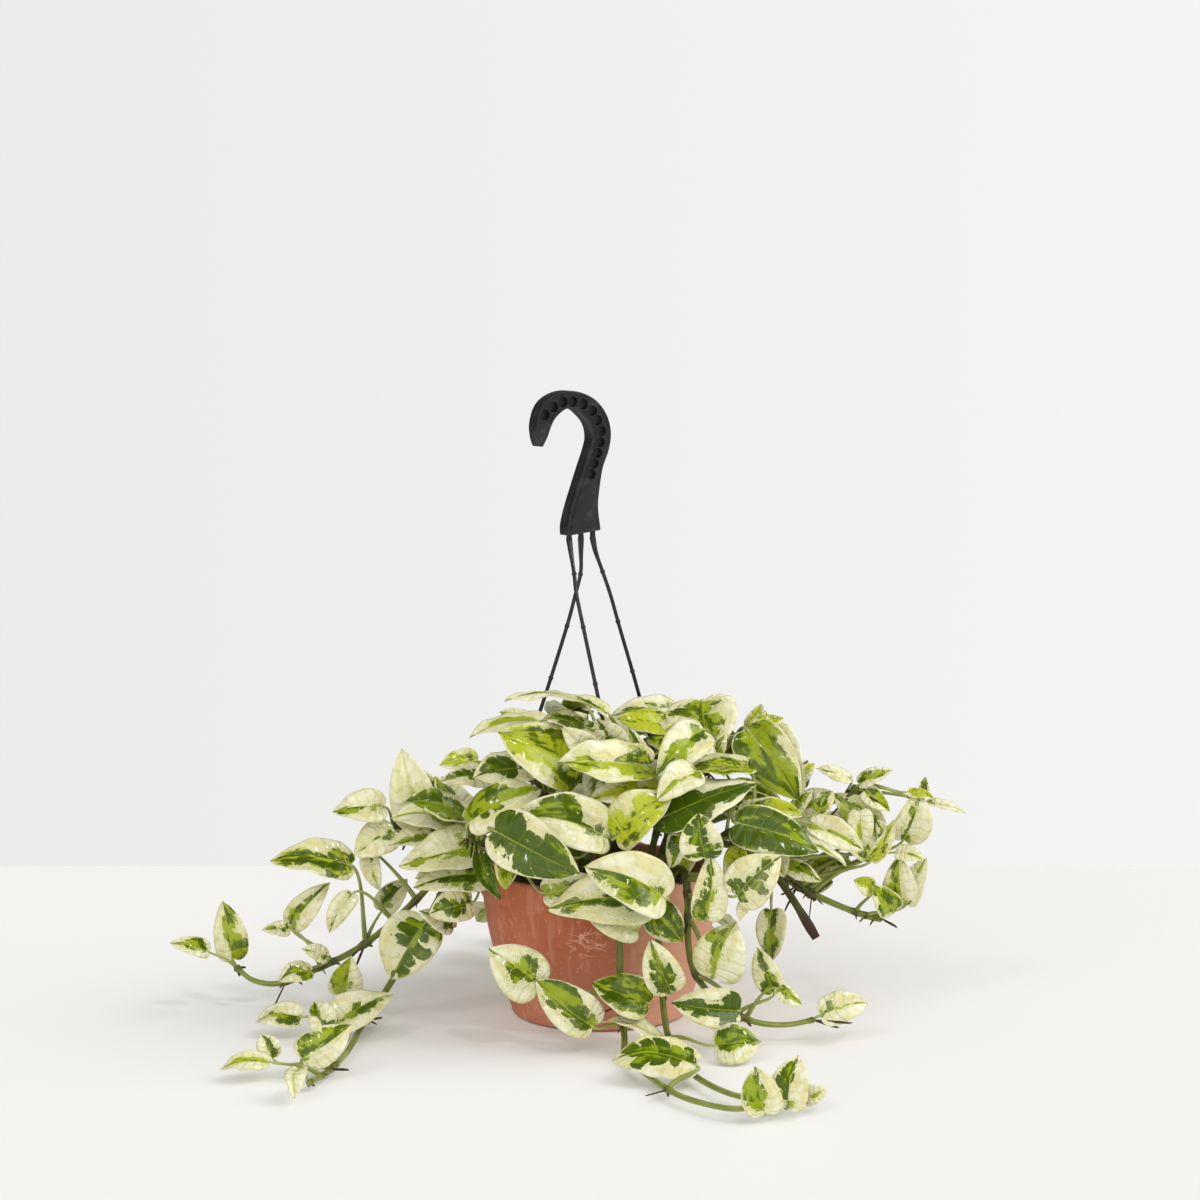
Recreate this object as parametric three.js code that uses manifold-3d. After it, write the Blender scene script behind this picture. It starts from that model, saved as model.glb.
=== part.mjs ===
// Potted variegated pothos, in millimetres, +Z up, in a hanging pot that stands on a surface.
// The origin is the middle of the pot's base, and the plant is seen from the -Y side.
import * as THREE from 'three';
import { mergeVertices } from 'three/addons/utils/BufferGeometryUtils.js';
import Module from 'manifold-3d';

const wasm = await Module();
wasm.setup();

// Driving dimensions of the pot
const POT_RIM_RADIUS = 82.5;
const POT_BASE_RADIUS = 60;
const POT_HEIGHT = 102;
const POT_WALL = 5;
const POT_FLOOR = 6;
const POT_CORNER = 5;
const POT_CHAMFER = 3;
const POT_BELLY = [22, 50];
const POT_BULGE = 1.25;
const RIM_BAND_HEIGHT = 18;
const RIM_STEP = 1.6;
const RIM_ROUND = 1.5;
const POT_SIDES = 24;

// Driving dimensions of the soil
const SOIL_TOP = 88;
const SOIL_RISE = 2;
const SOIL_SIDES = 16;
const SOIL_INSET = 1;
const TOUCH_GAP = 0.3;

// Driving dimensions of the hanger
const HOOK_THICKNESS = 12;
const HOOK_YAW = THREE.MathUtils.degToRad(30);
const HOOK_MIDDLE_X = -13;
const POCKET_RADIUS = 3.4;
const POCKET_DEPTH = 3;
const POCKET_SIDES = 6;
const HOOK_FOOT = 325;
const STRAND_RADIUS = 1.3;
const STRAND_ROOT_RADIUS = 1.8;
const STRAND_SIDES = 5;
const STRAND_HOLE_RADIUS = 2;
const SOCKET_RADIUS = 2.15;
const ROUND_SIDES = 8;
const SOCKET_TOP = 340;
const STRAND_TOP = 328;
const BUTTON_RADIUS = 3.8;
const BUTTON_HEIGHT = 2.2;
const BUTTON_STEP = 0.05;
const RIM_HOLE_HEIGHT = 94;

// Driving dimensions of the plant
const STEM_SIDES = 5;
const STEM_STEP = 30;
const CUT_STEM_RADIUS = 2.9;
const LAST_ROOT = 0.99;
const HOLE_BOTTOM = 77.6;
const HOLE_SIDES = 5;
const BLADE_THICKNESS = 0.7;
const PETIOLE_RADIUS = 1.15;
const WAVES = 1.6;
const CURL_START = 0.45;
const WIDTH_SHARE = 0.66;
const MIDDLE_LEAF = 29;
const LARGE_LEAF = 52;
const SHORT_STALK = 16;
const LONG_STALK = 46;
const FLOOR_CLEARANCE = 0.6;
const PIECE_CLEARANCE = 0.35;
const MOST_TURNS = 160;
const STRAY_STEP = 0.3;
const MOST_STRAY = 12;

// The eye's depth: a place read on an upright sheet is moved to its own depth along the line to the eye
const EYE_DEPTH = -1936;
const EYE_HEIGHT = 503;

const UP = new THREE.Vector3(0, 0, 1);

// What sets one blade apart from the next, from least to most: its fold along the midrib, its arch, the waves
// of its edge, the droop of its tip, its twist, the sideways bend of its midrib, and its left half's extra width
const FORM_RANGES = {
  fold: [0.02, 0.3],
  arch: [0.02, 0.13],
  wave: [0.015, 0.045],
  curl: [0, 0.45],
  twist: [-0.45, 0.45],
  bend: [-0.06, 0.06],
  skew: [-0.1, 0.1],
};

// Half of a blade's outline, as shares of its length and width, from the notch over the lobe to the tip,
// and where the vein to each of these points leaves the midrib
const LEAF_EDGE = [
  [0, 0], [-0.06, 0.2], [0.03, 0.42], [0.23, 0.51], [0.48, 0.48], [0.73, 0.345], [0.91, 0.15], [1, 0],
];
const LEAF_RIB = [[0], [0], [0.06], [0.18], [0.36], [0.58], [0.8], [1]];
const EDGE_SHARES = {
  small: [0.2, 0.6],
  middle: [0.16, 0.42, 0.73],
  large: [0.14, 0.34, 0.57, 0.8],
};

const terracotta = new THREE.MeshStandardMaterial({ color: 0xc4766a, roughness: 0.85, metalness: 0 });
const earth = new THREE.MeshStandardMaterial({ color: 0x3a2a1f, roughness: 0.95, metalness: 0 });
const blackPlastic = new THREE.MeshStandardMaterial({ color: 0x17181a, roughness: 0.45, metalness: 0 });
const foliage = new THREE.MeshStandardMaterial({ color: 0xa9bd7c, roughness: 0.4, metalness: 0 });

// Solids

function solidOf(geometry) {
  const bare = geometry.index ? geometry.toNonIndexed() : geometry.clone();
  bare.deleteAttribute('normal');
  bare.deleteAttribute('uv');
  const merged = mergeVertices(bare, 1e-4);
  return manifoldOf(merged.attributes.position.array, merged.index.array);
}

function manifoldOf(positions, triangles) {
  const kept = [];
  for (let i = 0; i < triangles.length; i += 3) {
    const [a, b, c] = [triangles[i], triangles[i + 1], triangles[i + 2]];
    if (a !== b && b !== c && c !== a) kept.push(a, b, c);
  }
  return new wasm.Manifold(new wasm.Mesh({
    numProp: 3,
    vertProperties: new Float32Array(positions),
    triVerts: new Uint32Array(kept),
  }));
}

function meshOf(name, manifold, material) {
  const { vertProperties, triVerts, numProp } = manifold.getMesh();
  const positions = new Float32Array((vertProperties.length / numProp) * 3);
  for (let i = 0; i < positions.length / 3; i += 1) {
    positions.set(vertProperties.subarray(i * numProp, i * numProp + 3), i * 3);
  }
  const geometry = new THREE.BufferGeometry();
  geometry.setAttribute('position', new THREE.BufferAttribute(positions, 3));
  geometry.setIndex([...triVerts]);
  const mesh = new THREE.Mesh(geometry, material.clone());
  mesh.name = name;
  return mesh;
}

// A drilled hole's core, from one point to another
function drill(from, to, radius, sides) {
  const length = from.distanceTo(to);
  const core = new THREE.CylinderGeometry(radius, radius, length, sides);
  core.applyQuaternion(new THREE.Quaternion().setFromUnitVectors(
    new THREE.Vector3(0, 1, 0), to.clone().sub(from).normalize()));
  core.translate(...from.clone().add(to).multiplyScalar(0.5).toArray());
  return solidOf(core);
}

// A round bar that follows points, each ring with its own radius
function bar(points, radii, sides) {
  const positions = [];
  const triangles = [];
  let normal = new THREE.Vector3(1, 0, 0);
  points.forEach((point, ring) => {
    const before = points[Math.max(ring - 1, 0)];
    const after = points[Math.min(ring + 1, points.length - 1)];
    const tangent = after.clone().sub(before).normalize();
    normal = normal.clone().addScaledVector(tangent, -normal.dot(tangent)).normalize();
    const binormal = new THREE.Vector3().crossVectors(tangent, normal);
    for (let side = 0; side < sides; side += 1) {
      const angle = (side / sides) * 2 * Math.PI;
      const corner = point.clone()
        .addScaledVector(normal, radii[ring] * Math.cos(angle))
        .addScaledVector(binormal, radii[ring] * Math.sin(angle));
      positions.push(...corner.toArray());
    }
  });
  for (let ring = 0; ring < points.length - 1; ring += 1) {
    for (let side = 0; side < sides; side += 1) {
      const next = (side + 1) % sides;
      const [a, b] = [ring * sides + side, ring * sides + next];
      triangles.push(a, b, b + sides, a, b + sides, a + sides);
    }
  }
  const last = (points.length - 1) * sides;
  for (let side = 1; side < sides - 1; side += 1) {
    triangles.push(0, side + 1, side);
    triangles.push(last, last + side, last + side + 1);
  }
  return { positions, triangles };
}

// A smooth curve through every point of a list, for points of any number of coordinates
function smooth(points, share) {
  const place = Math.min(Math.max(share, 0), 1) * (points.length - 1);
  const index = Math.min(Math.floor(place), points.length - 2);
  const t = place - index;
  const p1 = points[index];
  const p2 = points[index + 1];
  return p1.map((value, axis) => {
    const before = index > 0 ? points[index - 1][axis] : 2 * value - p2[axis];
    const after = index < points.length - 2 ? points[index + 2][axis] : 2 * p2[axis] - value;
    const slopeIn = (p2[axis] - before) / 2;
    const slopeOut = (after - value) / 2;
    const square = t * t;
    const cube = square * t;
    return (2 * cube - 3 * square + 1) * value + (cube - 2 * square + t) * slopeIn
      + (3 * square - 2 * cube) * p2[axis] + (cube - square) * slopeOut;
  });
}

function curveLength(points) {
  let length = 0;
  for (let i = 1; i < points.length; i += 1) {
    length += new THREE.Vector3(...points[i]).distanceTo(new THREE.Vector3(...points[i - 1]));
  }
  return length;
}

// Repeatable draws between 0 and 1
function draws(seed) {
  let state = seed >>> 0;
  return () => {
    state = (state + 0x6d2b79f5) >>> 0;
    let mixed = Math.imul(state ^ (state >>> 15), state | 1);
    mixed = (mixed ^ (mixed + Math.imul(mixed ^ (mixed >>> 7), mixed | 61))) >>> 0;
    return ((mixed ^ (mixed >>> 14)) >>> 0) / 4294967296;
  };
}

// Pot and soil

function outerRadius(z) {
  const bandBottom = POT_HEIGHT - RIM_BAND_HEIGHT;
  const share = Math.min(z / bandBottom, 1);
  const bulge = Math.sin(share * POT_BULGE) / Math.sin(POT_BULGE);
  return POT_BASE_RADIUS + (POT_RIM_RADIUS - RIM_STEP - POT_BASE_RADIUS) * bulge;
}

function potBody() {
  const bandBottom = POT_HEIGHT - RIM_BAND_HEIGHT;
  const innerRim = POT_RIM_RADIUS - POT_WALL;
  const profile = [
    [0, 0],
    [POT_BASE_RADIUS - POT_CHAMFER, 0],
    [outerRadius(POT_CORNER), POT_CORNER],
    ...POT_BELLY.map((height) => [outerRadius(height), height]),
    [outerRadius(bandBottom), bandBottom],
    [POT_RIM_RADIUS, bandBottom + 1],
    [POT_RIM_RADIUS, POT_HEIGHT - RIM_ROUND],
    [POT_RIM_RADIUS - RIM_ROUND, POT_HEIGHT],
    [innerRim, POT_HEIGHT],
    [innerRim, bandBottom],
    [outerRadius(POT_BELLY[0]) - POT_WALL, POT_BELLY[0]],
    [outerRadius(POT_FLOOR) - POT_WALL, POT_FLOOR],
    [0, POT_FLOOR],
  ].map(([radius, z]) => new THREE.Vector2(radius, z));
  return solidOf(new THREE.LatheGeometry(profile, POT_SIDES).rotateX(Math.PI / 2));
}

function soilBody() {
  const inset = POT_WALL + TOUCH_GAP + SOIL_INSET;
  const edge = POT_RIM_RADIUS - inset - SOIL_INSET;
  const profile = [
    [0, POT_FLOOR + TOUCH_GAP],
    [outerRadius(POT_FLOOR) - inset, POT_FLOOR + TOUCH_GAP],
    [outerRadius(POT_BELLY[0]) - inset, POT_BELLY[0]],
    [edge, POT_HEIGHT - RIM_BAND_HEIGHT],
    [edge, SOIL_TOP - 1],
    [edge * 0.75, SOIL_TOP],
    [edge * 0.35, SOIL_TOP + SOIL_RISE],
    [0, SOIL_TOP + SOIL_RISE],
  ].map(([radius, z]) => new THREE.Vector2(radius, z));
  return solidOf(new THREE.LatheGeometry(profile, SOIL_SIDES).rotateX(Math.PI / 2));
}

// Hanger

// The hook's outline in its own plane, which leans right above its foot: outer edge up, then inner edge down
const HOOK_OUTER = [[12.4, 333.6], [10.4, 349], [11.4, 361], [14.1, 376], [18.8, 388], [20.5, 400], [17.1, 412],
  [8.6, 422], [-3.3, 427.5], [-15, 428.5], [-26.4, 424.8], [-33.7, 417.6], [-37.1, 406], [-36.3, 397]];
const HOOK_NOSE = [[-34.3, 391.5], [-32.2, 391.7]];
const HOOK_INNER = [[-28.9, 397.5], [-24.4, 408], [-19.4, 413.4], [-14, 416.5], [-8.2, 416.5], [-2.6, 412.8],
  [3.6, 406], [5.8, 397], [3.7, 388], [-0.3, 377.5], [-4.7, 365.5], [-10, 350.5], [-13.3, 338], [-13.3, 330.6]];
const HOOK_POCKETS = [[-31, 412.9], [-24.4, 418.1], [-17, 421.3], [-9.6, 421.3], [-1.4, 419.4], [5.9, 414.8],
  [9.7, 408.3], [12.6, 401], [11.9, 393.4], [9.7, 386.2], [7, 379.1], [4.8, 372]];

// Each strand: where its root stands along the hook's foot, its way to the rim, and the rim hole's bearing
const STRANDS = {
  hanger_strand_left: {
    root: 0, bearing: 168,
    way: [[-13, 3, 318], [-13.2, 6, 304], [-17, 9, 288], [-24, 12, 262], [-41, 15, 208], [-61, 16, 148]],
  },
  hanger_strand_front: {
    root: -9.2, bearing: -72,
    way: [[-19.5, -11, 318], [-17.3, -20, 305], [-15.8, -28, 293], [-10, -38, 266], [3, -53, 206], [15, -66, 148]],
  },
  hanger_strand_right: {
    root: 9.2, bearing: 48,
    way: [[-3, 8, 318], [1.4, 13, 305], [7, 18, 288], [13.6, 24, 264], [28, 37, 212], [42, 49, 152]],
  },
};

function hookPoint(along, height) {
  return new THREE.Vector3(HOOK_MIDDLE_X + along * Math.cos(HOOK_YAW), along * Math.sin(HOOK_YAW), height);
}

function hookBody(roots) {
  const corners = [...HOOK_OUTER, ...HOOK_NOSE, ...HOOK_INNER];
  const outline = new THREE.Shape(corners.map(([x, y]) => new THREE.Vector2(x, y)));
  const plate = new THREE.ExtrudeGeometry(outline, { depth: HOOK_THICKNESS, bevelEnabled: false, steps: 1 });
  plate.translate(0, 0, -HOOK_THICKNESS / 2).rotateX(Math.PI / 2);
  plate.rotateZ(HOOK_YAW).translate(HOOK_MIDDLE_X, 0, 0);
  let body = solidOf(plate);
  const across = new THREE.Vector3(-Math.sin(HOOK_YAW), Math.cos(HOOK_YAW), 0);
  for (const [along, height] of HOOK_POCKETS) {
    const middle = hookPoint(along, height);
    for (const face of [-1, 1]) {
      const mouth = middle.clone().addScaledVector(across, face * (HOOK_THICKNESS / 2 + 1));
      const end = middle.clone().addScaledVector(across, face * (HOOK_THICKNESS / 2 - POCKET_DEPTH));
      body = body.subtract(drill(mouth, end, POCKET_RADIUS, POCKET_SIDES));
    }
  }
  for (const root of roots) {
    const mouth = hookPoint(root, HOOK_FOOT);
    body = body.subtract(drill(mouth, mouth.clone().setZ(SOCKET_TOP + TOUCH_GAP), SOCKET_RADIUS, ROUND_SIDES));
  }
  return body;
}

function rimPoint(bearing, radius, z) {
  const angle = THREE.MathUtils.degToRad(bearing);
  return new THREE.Vector3(radius * Math.cos(angle), radius * Math.sin(angle), z);
}

// A strand: a stout root in the hook's socket, a thin bar to the rim, and a button outside the rim hole
function strandShape({ root, way, bearing }) {
  const top = hookPoint(root, SOCKET_TOP);
  const rootEnd = hookPoint(root, STRAND_TOP);
  const knee = rimPoint(bearing, POT_RIM_RADIUS - POT_WALL - 6, RIM_HOLE_HEIGHT + 5);
  const inside = rimPoint(bearing, POT_RIM_RADIUS - POT_WALL - 2.2, RIM_HOLE_HEIGHT);
  const line = [rootEnd.toArray(), ...way, knee.toArray(), inside.toArray()];
  const steps = 2 * (line.length - 1);
  const points = [top, hookPoint(root, STRAND_TOP + 2)];
  const radii = [STRAND_ROOT_RADIUS, STRAND_ROOT_RADIUS];
  for (let step = 0; step <= steps; step += 1) {
    points.push(new THREE.Vector3(...smooth(line, step / steps)));
    radii.push(STRAND_RADIUS);
  }
  const outside = POT_RIM_RADIUS + TOUCH_GAP;
  points.push(rimPoint(bearing, outside, RIM_HOLE_HEIGHT));
  radii.push(STRAND_RADIUS);
  points.push(rimPoint(bearing, outside + BUTTON_STEP, RIM_HOLE_HEIGHT));
  radii.push(BUTTON_RADIUS);
  points.push(rimPoint(bearing, outside + BUTTON_HEIGHT, RIM_HOLE_HEIGHT));
  radii.push(BUTTON_RADIUS * 0.8);
  return bar(points, radii, STRAND_SIDES);
}

// Plant

// Each leafy stem: its radius at the soil and at the tip, the points that it runs through, and its leaves.
// Each leaf: share of the stem's length where it grows, base of the blade, tip of the blade, turn of the upper
// face in degrees (0 faces the viewer, 90 faces up), and the blade's width share where it isn't the usual one.
// A stem with a sheet depth has its leaves read on the upright sheet at that depth: each point's x and z lie
// on the sheet, and its y is the depth that it is moved to.
const PLANTS = {
  crown_middle: {
    radius: [2.8, 2],
    sheet: -50,
    path: [[10, 0, 78], [10, 0, 100], [10, -5, 140], [12, -12, 170], [16, -18, 190]],
    leaves: [
      [0.9, [3, -62, 216], [-63, -58, 228], 78, 0.34],
      [0.72, [-14, -62, 180], [-67, -78, 203], 20, 0.72],
      [0.94, [-8, -64, 203], [-44, -50, 209], 50],
      [0.84, [8, -66, 190], [-8, -60, 212], 0, 0.8],
      [0.66, [-5, -74, 190], [-25, -78, 206], 10],
      [0.98, [50, 0, 216], [8, -10, 216], 50, 0.6],
      [0.88, [50, -20, 208], [12, -30, 212], 45, 0.6],
      [1, [38, -30, 203], [80, -50, 184], 45, 0.7],
      [0.6, [22, -50, 172], [-2, -70, 172], 30],
      [0.5, [0, -34, 152], [-44, -44, 146], 40],
      [0.55, [34, -28, 158], [74, -36, 150], 40],
      [0.76, [24, 16, 196], [-28, 24, 186], 25, 0.7],
      [0.45, [-2, 18, 178], [-48, 20, 162], 10, 0.75],
      [0.4, [24, 10, 172], [64, 12, 152], 10, 0.75],
      [0.6, [-10, -10, 168], [-35, -20, 163], 20],
      [0.68, [21, -25, 173], [-4, -35, 163], 30, 0.7],
      [0.7, [-5, -45, 181], [-8, -55, 160], 10, 0.7],
      [0.42, [-10, -20, 133], [-13, -25, 110], 0],
      [0.35, [15, 10, 132], [8, 6, 108], 0],
    ],
  },
  crown_back_left: {
    radius: [2.7, 1.9],
    sheet: -50,
    path: [[-20, 5, 78], [-20, 5, 98], [-28, 0, 130], [-38, -8, 155], [-50, -15, 170]],
    leaves: [
      [0.93, [-37, -30, 210], [-87, -50, 204], 72, 0.42],
      [0.74, [-45, -60, 177], [-86, -75, 170], 50, 0.7],
      [1, [-82, -10, 183], [-107, -20, 181], 45],
      [0.86, [-58, -20, 180], [-73, -20, 189], 20],
      [0.8, [-75, -40, 172], [-107, -50, 170], 45, 0.6],
      [0.67, [-40, 20, 200], [-70, 15, 212], 40],
      [0.95, [-8, -20, 210], [-40, -34, 197], 50, 0.6],
      [0.6, [-58, 26, 152], [-94, 44, 144], 80],
      [0.5, [-36, 34, 150], [-58, 66, 140], 110],
    ],
  },
  crown_front_left: {
    radius: [2.7, 1.9],
    sheet: -50,
    path: [[-58, -30, 78], [-58, -30, 98], [-66, -45, 113], [-79, -61, 128], [-88, -70, 136]],
    leaves: [
      [1, [-86, -80, 141], [-40, -75, 163], 40, 0.6],
      [0.96, [-84, -85, 140], [-55, -80, 146], 20, 0.7],
      [0.85, [-69, -95, 137], [-13, -115, 107], 10, 0.62],
      [0.7, [-60, -88, 120], [-64, -104, 96], 10],
      [0.9, [-64, -40, 138], [-84, -50, 140], 30],
      [0.75, [-81, -66, 121], [-67, -86, 89], 10, 0.35],
    ],
  },
  crown_left: {
    radius: [2.7, 1.9],
    path: [[-62, 6, 78], [-62, 6, 98], [-70, 4, 112], [-80, 0, 121], [-89, -3, 129]],
    leaves: [
      [1, [-92, -6, 134], [-119, -12, 160], 20, 0.6],
      [0.97, [-90, 4, 136], [-108, 2, 166], 10, 0.55],
      [0.98, [-95, -10, 134], [-137, -14, 156], 50, 0.6],
      [0.95, [-94, -12, 128], [-142, -18, 131], 50, 0.6],
      [0.9, [-94, -15, 126], [-145, -24, 122], 65, 0.6],
      [0.8, [-81, -28, 122], [-136, -38, 109], 40, 0.62],
      [0.7, [-88, -26, 104], [-125, -38, 101], 30, 0.65],
      [0.6, [-74, -44, 100], [-120, -58, 92], 10, 0.6],
    ],
  },
  crown_front: {
    radius: [2.7, 1.9],
    sheet: -50,
    path: [[0, -40, 78], [0, -40, 97], [2, -50, 115], [6, -62, 130], [12, -70, 140]],
    leaves: [
      [0.97, [4, -95, 132], [-60, -105, 146], 25, 0.56],
      [0.92, [6, -85, 133], [40, -75, 161], 30, 0.7],
      [1, [33, -60, 180], [-27, -90, 185], 45, 0.5],
      [0.8, [-18, -88, 118], [-46, -98, 128], 35],
    ],
  },
  crown_right_front: {
    radius: [2.7, 1.9],
    sheet: -50,
    path: [[35, -35, 78], [35, -35, 98], [42, -48, 120], [55, -60, 138], [68, -65, 150]],
    leaves: [
      [0.8, [38, -95, 143], [105, -75, 172], 48, 0.56],
      [0.9, [70, -110, 118], [66, -105, 149], 0, 0.95],
      [1, [38, -70, 165], [-6, -84, 160], 35, 0.55],
      [0.97, [60, -75, 177], [36, -95, 162], 30, 0.7],
      [0.85, [32, -70, 177], [27, -75, 206], 10, 0.5],
      [0.6, [55, -95, 135], [47, -100, 110], 60, 0.6],
      [0.55, [60, -50, 126], [56, -60, 104], 10, 0.6],
    ],
  },
  crown_right: {
    radius: [2.7, 1.9],
    sheet: -50,
    path: [[58, -20, 78], [58, -20, 98], [70, -35, 120], [88, -50, 135], [104, -57, 141]],
    leaves: [
      [0.95, [92, -90, 141], [147, -100, 121], 10, 0.55],
      [0.92, [95, -75, 147], [136, -75, 149], 40, 0.5],
      [1, [99, -50, 178], [44, -80, 171], 55, 0.5],
      [1, [84, -45, 187], [86, -45, 203], 10],
      [0.7, [92, -34, 152], [134, -40, 136], 35, 0.65],
      [0.85, [110, -80, 130], [124, -96, 104], 20, 0.7],
      [0.97, [132, -20, 149], [147, -30, 168], 15, 0.5],
      [0.9, [142, -10, 151], [158, -12, 163], 20, 0.6],
      [0.93, [142, -46, 140], [178, -52, 123], 35, 0.5],
      [0.8, [129, -70, 131], [166, -84, 112], 60, 0.35],
      [0.75, [125, -70, 112], [149, -80, 102], 30, 0.5],
      [0.6, [93, -70, 123], [86, -80, 99], 10, 0.6],
    ],
  },
  crown_right_back: {
    radius: [2.8, 2],
    sheet: -50,
    path: [[40, 10, 78], [40, 10, 100], [55, 8, 140], [75, 5, 170], [93, 0, 184]],
    leaves: [
      [0.96, [97, -40, 199], [131, -60, 152], 10, 0.62],
      [0.78, [68, -8, 223], [74, -36, 186], 0, 1.1],
      [0.84, [62, -50, 199], [35, -75, 178], 15, 0.6],
      [0.9, [100, 10, 205], [111, 20, 218], 30],
      [1, [101, 0, 202], [123, 5, 214], 30],
      [0.93, [118, 0, 205], [137, -10, 158], 5, 0.5],
      [0.72, [55, -20, 203], [83, -30, 197], 40],
      [0.87, [100, -20, 202], [128, -35, 182], 20, 0.6],
      [0.81, [130, 0, 172], [142, 0, 183], 20],
      [0.6, [64, 14, 178], [20, 20, 168], 20, 0.7],
      [0.55, [86, 8, 160], [128, 4, 142], 25, 0.7],
      [0.88, [101, 5, 204], [108, 8, 220], 20, 0.7],
      [0.9, [134, 0, 166], [139, 4, 184], 20, 0.6],
      [0.5, [72, 40, 152], [102, 66, 142], 105],
      [0.65, [84, 34, 178], [122, 50, 166], 90],
    ],
  },
  vine_left_reach: {
    radius: [2.9, 1.7],
    path: [[-40, 20, 78], [-40, 20, 98], [-62, 24, 122], [-88, 20, 120], [-113, 9, 93], [-127, 3, 77],
      [-162, 0, 47], [-199, -3, 28], [-221, -5, 20], [-239, -5, 22], [-252, -5, 32]],
    leaves: [
      [0.99, [-255, 3, 36], [-262, 8, 75], 0, 0.6],
      [1, [-270, -8, 43], [-295, -12, 51], 35, 0.55],
      [0.6, [-172, -4, 103], [-226, -8, 109], 40, 0.55],
      [0.66, [-213, 2, 60], [-187, -2, 90], 20, 0.5],
      [0.68, [-214, -8, 59], [-232, -12, 60], 30],
      [0.55, [-170, -12, 84], [-186, -16, 58], 20, 0.5],
      [0.74, [-188, -14, 40], [-204, -18, 48], 30],
      [0.78, [-198, -16, 30], [-221, -20, 26], 40],
      [0.5, [-160, 4, 110], [-152, 0, 84], 10, 0.5],
      [0.6, [-152, 18, 66], [-135, 22, 88], 20],
    ],
  },
  vine_left_front: {
    radius: [2.9, 1.7],
    path: [[-52, -8, 78], [-52, -8, 98], [-68, -13, 115], [-90, -18, 110], [-108, -18, 86], [-126, -16, 52],
      [-143, -14, 24], [-154, -34, 9], [-160, -75, 6], [-164, -125, 5], [-172, -172, 5], [-182, -204, 6]],
    leaves: [
      [0.42, [-119, -22, 67], [-143, -28, 28], 10, 0.85],
      [0.36, [-100, -30, 66], [-122, -34, 78], 30],
      [0.18, [-36, -98, 104], [0, -99, 113], 15, 0.62],
      [0.6, [-174, -20, 16], [-170, -28, 44], 0, 0.8],
      [0.68, [-174, -86, 14], [-138, -68, 30], 40, 0.7],
      [0.68, [-181, -96, 12], [-190, -86, 28], 10, 0.9],
      [0.66, [-200, -72, 14], [-231, -70, 11], 40, 0.7],
      [0.88, [-188, -174, 14], [-158, -166, 34], 30, 0.75],
      [0.9, [-208, -166, 12], [-216, -160, 26], 10, 0.9],
      [0.94, [-209, -176, 12], [-240, -178, 10], 60, 0.5],
      [1, [-187, -210, 17], [-187, -234, 6], 40, 0.5],
      [0.22, [-82, -45, 89], [-107, -60, 79], 20, 0.8],
    ],
  },
  vine_left_high: {
    radius: [2.8, 1.8],
    path: [[-42, 40, 78], [-42, 40, 98], [-60, 44, 120], [-86, 40, 120], [-110, 28, 112], [-132, 16, 118],
      [-144, 9, 130]],
    leaves: [
      [1, [-149, 4, 142], [-184, 0, 140], 30, 0.75],
      [0.97, [-125, 8, 130], [-137, 10, 181], 0, 0.6],
      [0.85, [-112, 10, 147], [-128, 8, 168], 20],
      [0.9, [-142, 0, 125], [-169, -6, 110], 20, 0.8],
    ],
  },
  vine_front_centre: {
    radius: [2.8, 1.7],
    path: [[6, -58, 78], [6, -58, 97], [9, -68, 110], [12, -84, 111], [13, -93, 92], [13, -93, 59],
      [14, -94, 28], [16, -108, 10], [17, -138, 6], [32, -190, 6], [50, -232, 6], [76, -260, 7], [94, -262, 8]],
    leaves: [
      [0.5, [-40, -108, 40], [-70, -104, 62], 10, 0.85],
      [0.55, [-5, -112, 18], [-42, -106, 48], 15, 0.62],
      [0.48, [31, -110, 33], [-5, -106, 46], 35, 0.8],
      [0.8, [60, -195, 10], [6, -188, 11], 50, 0.62],
      [1, [99, -268, 6], [93, -262, 33], 0, 0.85],
      [0.36, [24, -106, 80], [-8, -112, 90], 20, 0.6],
    ],
  },
  vine_front_right: {
    radius: [2.8, 1.7],
    path: [[24, -54, 78], [24, -54, 97], [28, -66, 110], [33, -82, 111], [36, -92, 92], [40, -94, 56],
      [42, -98, 24], [46, -118, 8], [54, -168, 6], [72, -214, 6], [92, -236, 6], [112, -242, 9]],
    leaves: [
      [0.25, [42, -115, 104], [-10, -120, 126], 20, 0.66],
      [0.3, [32, -98, 100], [-34, -108, 97], 35, 0.55],
      [0.34, [35, -100, 92], [54, -106, 73], 10, 0.9],
      [0.5, [46, -120, 44], [33, -118, 77], 10, 0.7],
      [0.62, [75, -135, 10], [104, -130, 13], 30, 0.95],
      [1, [113, -258, 7], [120, -250, 37], 10, 0.75],
      [1, [124, -244, 8], [138, -244, 14], 20, 0.8],
      [0.7, [40, -118, 10], [2, -112, 22], 80, 0.5],
    ],
  },
  vine_right_elbow: {
    radius: [2.8, 1.7],
    path: [[46, -50, 78], [46, -50, 97], [51, -60, 111], [56, -76, 112], [58, -88, 95], [58, -90, 70],
      [62, -92, 50], [74, -95, 34], [92, -92, 20], [108, -90, 14], [126, -88, 13], [143, -86, 16]],
    leaves: [
      [0.3, [90, -106, 104], [117, -110, 131], 10, 0.85],
      [0.4, [75, -102, 49], [89, -96, 84], 10, 0.92],
      [0.56, [90, -106, 27], [47, -112, 34], 20, 0.62],
      [0.34, [70, -104, 88], [72, -104, 131], 0, 0.55],
      [0.72, [115, -88, 36], [104, -84, 64], 10, 0.6],
      [0.75, [119, -92, 38], [135, -96, 28], 20],
      [1, [147, -86, 19], [178, -80, 27], 40, 0.7],
      [0.28, [96, -100, 98], [91, -108, 88], 20],
    ],
  },
  vine_right_reach: {
    radius: [3, 1.9],
    path: [[62, 5, 78], [62, 5, 98], [74, 4, 115], [96, 2, 114], [118, -2, 100], [137, -4, 88], [152, -4, 80],
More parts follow.
